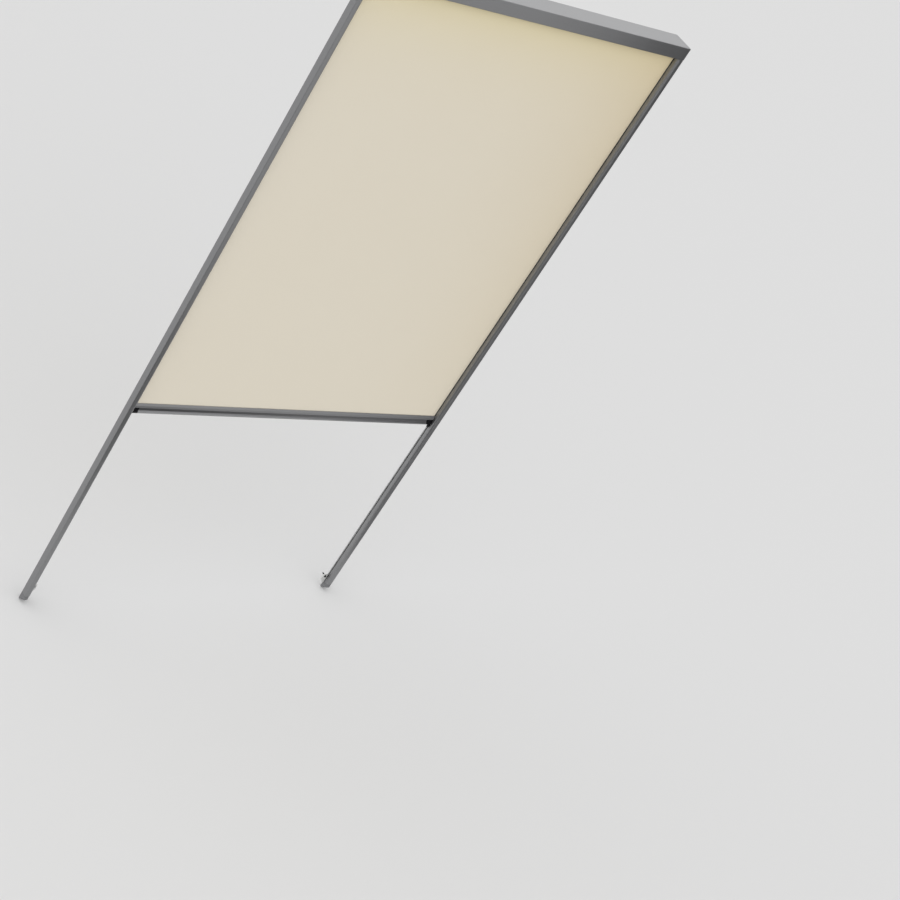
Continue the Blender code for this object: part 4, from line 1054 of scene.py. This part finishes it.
# %% The cloth's grid
def sheet_mesh():
    """The cloth's grid, flat but for each row's shift."""
    bm = bmesh.new()
    rows = []
    for row in range(SHEET_ROWS + 1):
        share = row / SHEET_ROWS
        level = SHEET_TOP + (SHEET_BOTTOM - SHEET_TOP) * share
        y = CLOTH_Y + SHEET_SHIFT * (share_to_shift(share) - 0.5)
        columns = range(SHEET_COLUMNS + 1)
        xs = [SHEET_HALF_WIDTH * (2 * column / SHEET_COLUMNS - 1) for column in columns]
        rows.append([bm.verts.new((x, y, level)) for x in xs])
    for upper, lower in zip(rows, rows[1:]):
        for column in range(SHEET_COLUMNS):
            bm.faces.new((upper[column], lower[column], lower[column + 1], upper[column + 1]))
    mesh = bpy.data.meshes.new("hanging_cloth")
    bm.to_mesh(mesh)
    bm.free()
    return mesh


# %% Hang the cloth
SHEET_THICKNESS = 0.35 * MM


def make_sheet():
    piece = linked("hanging_cloth", sheet_mesh())
    piece.data.materials.append(looks["blind_cloth"])
    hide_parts("fabric_sheet")
    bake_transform(piece)
    body = piece.modifiers.new("thickness", "SOLIDIFY")
    body.thickness = SHEET_THICKNESS
    body.offset = 0.0


make_sheet()

# %% [markdown]
# ## The cloth on the roller
#
# The rest of the cloth is wound on the tube, hidden in the casing. A plain ring would do from afar,
# but the turns are what tells a roll from a tube, so a group sweeps a thin upright section along a
# flat spiral. Six turns hold the 380 mm that the bar still has to go down, and a little more, which
# stays on the tube. The turns must not touch, so this cloth is thinner than the hanging one.

# %% The winding
ROLL_INNER_RADIUS = 10.3 * MM
ROLL_OUTER_RADIUS = 12.0 * MM
ROLL_TURNS = 6.0
ROLL_THICKNESS = 0.20 * MM
ROLL_POINTS = 40


def wound(graph, given):
    half = given["Thickness"] * 0.5
    path = graph.node("GeometryNodeCurveSpiral", sockets={
        "Resolution": given["Points"], "Rotations": given["Turns"],
        "Start Radius": given["Inner radius"] + half, "End Radius": given["Outer radius"] - half,
        "Height": 0.0})
    section = graph.node("GeometryNodeCurvePrimitiveQuadrilateral", {"mode": "RECTANGLE"}, {
        "Width": given["Thickness"], "Height": given["Width"]})
    skin = graph.node("GeometryNodeCurveToMesh", sockets={
        "Curve": path, "Profile Curve": section, "Fill Caps": True})
    return graph.node("GeometryNodeSetShadeSmooth", sockets={"Geometry": skin})


wound_group = group("wound cloth", {
    "Points": "Int", "Turns": "Float", "Inner radius": "Float", "Outer radius": "Float",
    "Thickness": "Float", "Width": "Float"}, wound)


# %% Wind the cloth
def make_roll():
    piece = grown("wound_cloth", wound_group, {
        "Points": ROLL_POINTS, "Turns": ROLL_TURNS, "Inner radius": ROLL_INNER_RADIUS,
        "Outer radius": ROLL_OUTER_RADIUS, "Thickness": ROLL_THICKNESS,
        "Width": 2 * SHEET_HALF_WIDTH, "Material": looks["wound_cloth"]})
    turn = Vector((1, 0, 0)).to_track_quat("Z", "Y").to_matrix().to_4x4()
    piece.data.transform(Matrix.Translation(middle("fabric_roll")) @ turn)
    piece.data.set_sharp_from_angle(angle=SHARP_ANGLE)
    stands_for(piece, "fabric_roll", "wound_cloth")


make_roll()

# %% [markdown]
# ## Floor and light
#
# The blind stands on a plain pale floor, in soft light that comes from all round and a little more
# from the left and the front, as in the photograph. A world that is brighter on one side gives that
# light without a lamp, whose pool on the floor would show from behind. Light Path lets each kind of
# ray see its own strength: the cloth gets the soft light, the camera an even pale ground, and
# metal, which is mostly reflection, a grey that is lighter above. The floor has no gloss at all, or
# the cards of the next step would show in it.

# %% The floor
FLOOR_LEVEL = frame_box[0].z - 0.4 * MM
FLOOR_REACH = 14.0
FLOOR_COLOUR = (0.70, 0.70, 0.70, 1.0)


def make_floor():
    mesh = bpy.data.meshes.new("floor")
    corners = [(-1, -1), (1, -1), (1, 1), (-1, 1)]
    mesh.from_pydata([(x * FLOOR_REACH, y * FLOOR_REACH, 0.0) for x, y in corners],
                     [], [(0, 1, 2, 3)])
    mesh.materials.append(material("floor_paint", lambda graph: {
        "Base Color": FLOOR_COLOUR, "Roughness": 0.9, "Specular IOR Level": 0.0}))
    floor = linked("floor", mesh)
    floor.location.z = FLOOR_LEVEL


make_floor()
print(f"Floor at {FLOOR_LEVEL / MM:.1f} mm")

# %% The world's light
LIGHT_LEVEL = 1.05
LIGHT_FROM_LEFT = 0.60
LIGHT_FROM_FRONT = 0.20
METAL_LEVEL = 0.70
METAL_LIGHT_ABOVE = 1.30
GROUND_LEVEL = 0.75


def make_world():
    """Soft light that comes more from the left; metal and camera each see a level of their own."""
    world = bpy.data.worlds.new("studio")
    world.use_nodes = True
    graph = Graph(world.node_tree)
    across, inwards, up = graph.split(graph.node("ShaderNodeTexCoord", output="Generated"))
    in_metal = graph.node("ShaderNodeLightPath", output="Is Glossy Ray")
    in_camera = graph.node("ShaderNodeLightPath", output="Is Camera Ray")
    on_metal = METAL_LEVEL + METAL_LIGHT_ABOVE * up.math("MAXIMUM", 0.0)
    on_cloth = LIGHT_LEVEL - LIGHT_FROM_LEFT * across - LIGHT_FROM_FRONT * inwards
    strength = (in_metal * on_metal + in_camera * GROUND_LEVEL
                + (1.0 - in_metal - in_camera) * on_cloth)
    background = world.node_tree.nodes["Background"]
    background.inputs["Color"].default_value = (1.0, 1.0, 1.0, 1.0)
    world.node_tree.links.new(strength.socket, background.inputs["Strength"])
    bpy.context.scene.world = world


make_world()
print(f"World light {LIGHT_LEVEL - LIGHT_FROM_LEFT:.2f} to {LIGHT_LEVEL + LIGHT_FROM_LEFT:.2f}")

# %% [markdown]
# ## Cards for the metal
#
# A photographer of metal sets grey and white cards round it, out of the picture, because metal
# looks like whatever stands before it. In the photograph the casing darkens towards the right. So a
# tall dark card stands there, with a paler foot for the lower end of the rail. A second lies on the
# floor in front, and a white one stands behind, below the bar. They give out their own tone, and
# only what is glossy sees them.

# %% A card that only shows in metal
CARD_RISE = 1.0 * MM


def tone(colour):
    """A card's even tone."""
    return lambda graph: {"Base Color": (0.0, 0.0, 0.0, 1.0), "Specular IOR Level": 0.0,
                          "Emission Color": colour, "Emission Strength": 1.0}


def make_card(name, corners, faces, paint):
    mesh = bpy.data.meshes.new(name)
    mesh.from_pydata(corners, [], faces)
    mesh.materials.append(material(f"{name}_paint", paint))
    card = linked(name, mesh)
    card.visible_camera = False
    card.visible_diffuse = False
    card.visible_shadow = False
    card.visible_transmission = False
    print(f"Card {name}")


# %% The tall card to the right, and its foot
CARD_EDGE = Vector((0.552, -0.351, 0.0))
CARD_FAR_EDGE = Vector((1.058, 0.286, 0.0))
CARD_TOP = Vector((0, 0, 0.45))
CARD_FOOT = Vector((0, 0, FLOOR_LEVEL + CARD_RISE))
CARD_FOOT_REACH = Vector((-0.19, 0.15, 0.0))
CARD_DARK_FROM = -0.25
CARD_DARK = (0.06, 0.06, 0.062, 1.0)
CARD_PALE = (0.30, 0.30, 0.304, 1.0)


def card_shade(graph):
    """Dark grey that gets lighter towards the card's foot."""
    _, _, up = graph.split(graph.place())
    share = (up - FLOOR_LEVEL) / (CARD_DARK_FROM - FLOOR_LEVEL)
    shade = graph.mix(share.math("MINIMUM", 1.0).math("MAXIMUM", 0.0), CARD_PALE, CARD_DARK)
    return {"Base Color": (0.0, 0.0, 0.0, 1.0), "Specular IOR Level": 0.0,
            "Emission Color": shade, "Emission Strength": 1.0}


make_card("right_card", [CARD_EDGE + CARD_FOOT, CARD_FAR_EDGE + CARD_FOOT, CARD_FAR_EDGE + CARD_TOP,
                         CARD_EDGE + CARD_TOP, CARD_EDGE + CARD_FOOT_REACH + CARD_FOOT,
                         CARD_FAR_EDGE + CARD_FOOT_REACH + CARD_FOOT],
          [(0, 1, 2, 3), (0, 4, 5, 1)], card_shade)

# %% The card on the floor in front, and the white one behind
FRONT_CARD_GREY = (0.10, 0.10, 0.10, 1.0)
FRONT_CARD_X = (-3.2, 0.45)
FRONT_CARD_Y = (-3.9, -0.30)
PANE_GAP = 50 * MM
PANE_WHITE = (0.80, 0.80, 0.80, 1.0)

left, right = FRONT_CARD_X
far, near = FRONT_CARD_Y
make_card("front_card", [(left, far, CARD_FOOT.z), (right, far, CARD_FOOT.z),
                         (right, near, CARD_FOOT.z), (left, near, CARD_FOOT.z)],
          [(0, 1, 2, 3)], tone(FRONT_CARD_GREY))

pane_y = frame_box[1].y + PANE_GAP
bar_low, bar_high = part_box("bottom_bar")
make_card("pane_card", [(-bar_high.x, pane_y, FLOOR_LEVEL), (bar_high.x, pane_y, FLOOR_LEVEL),
                        (bar_high.x, pane_y, bar_low.z), (-bar_high.x, pane_y, bar_low.z)],
          [(0, 1, 2, 3)], tone(PANE_WHITE))
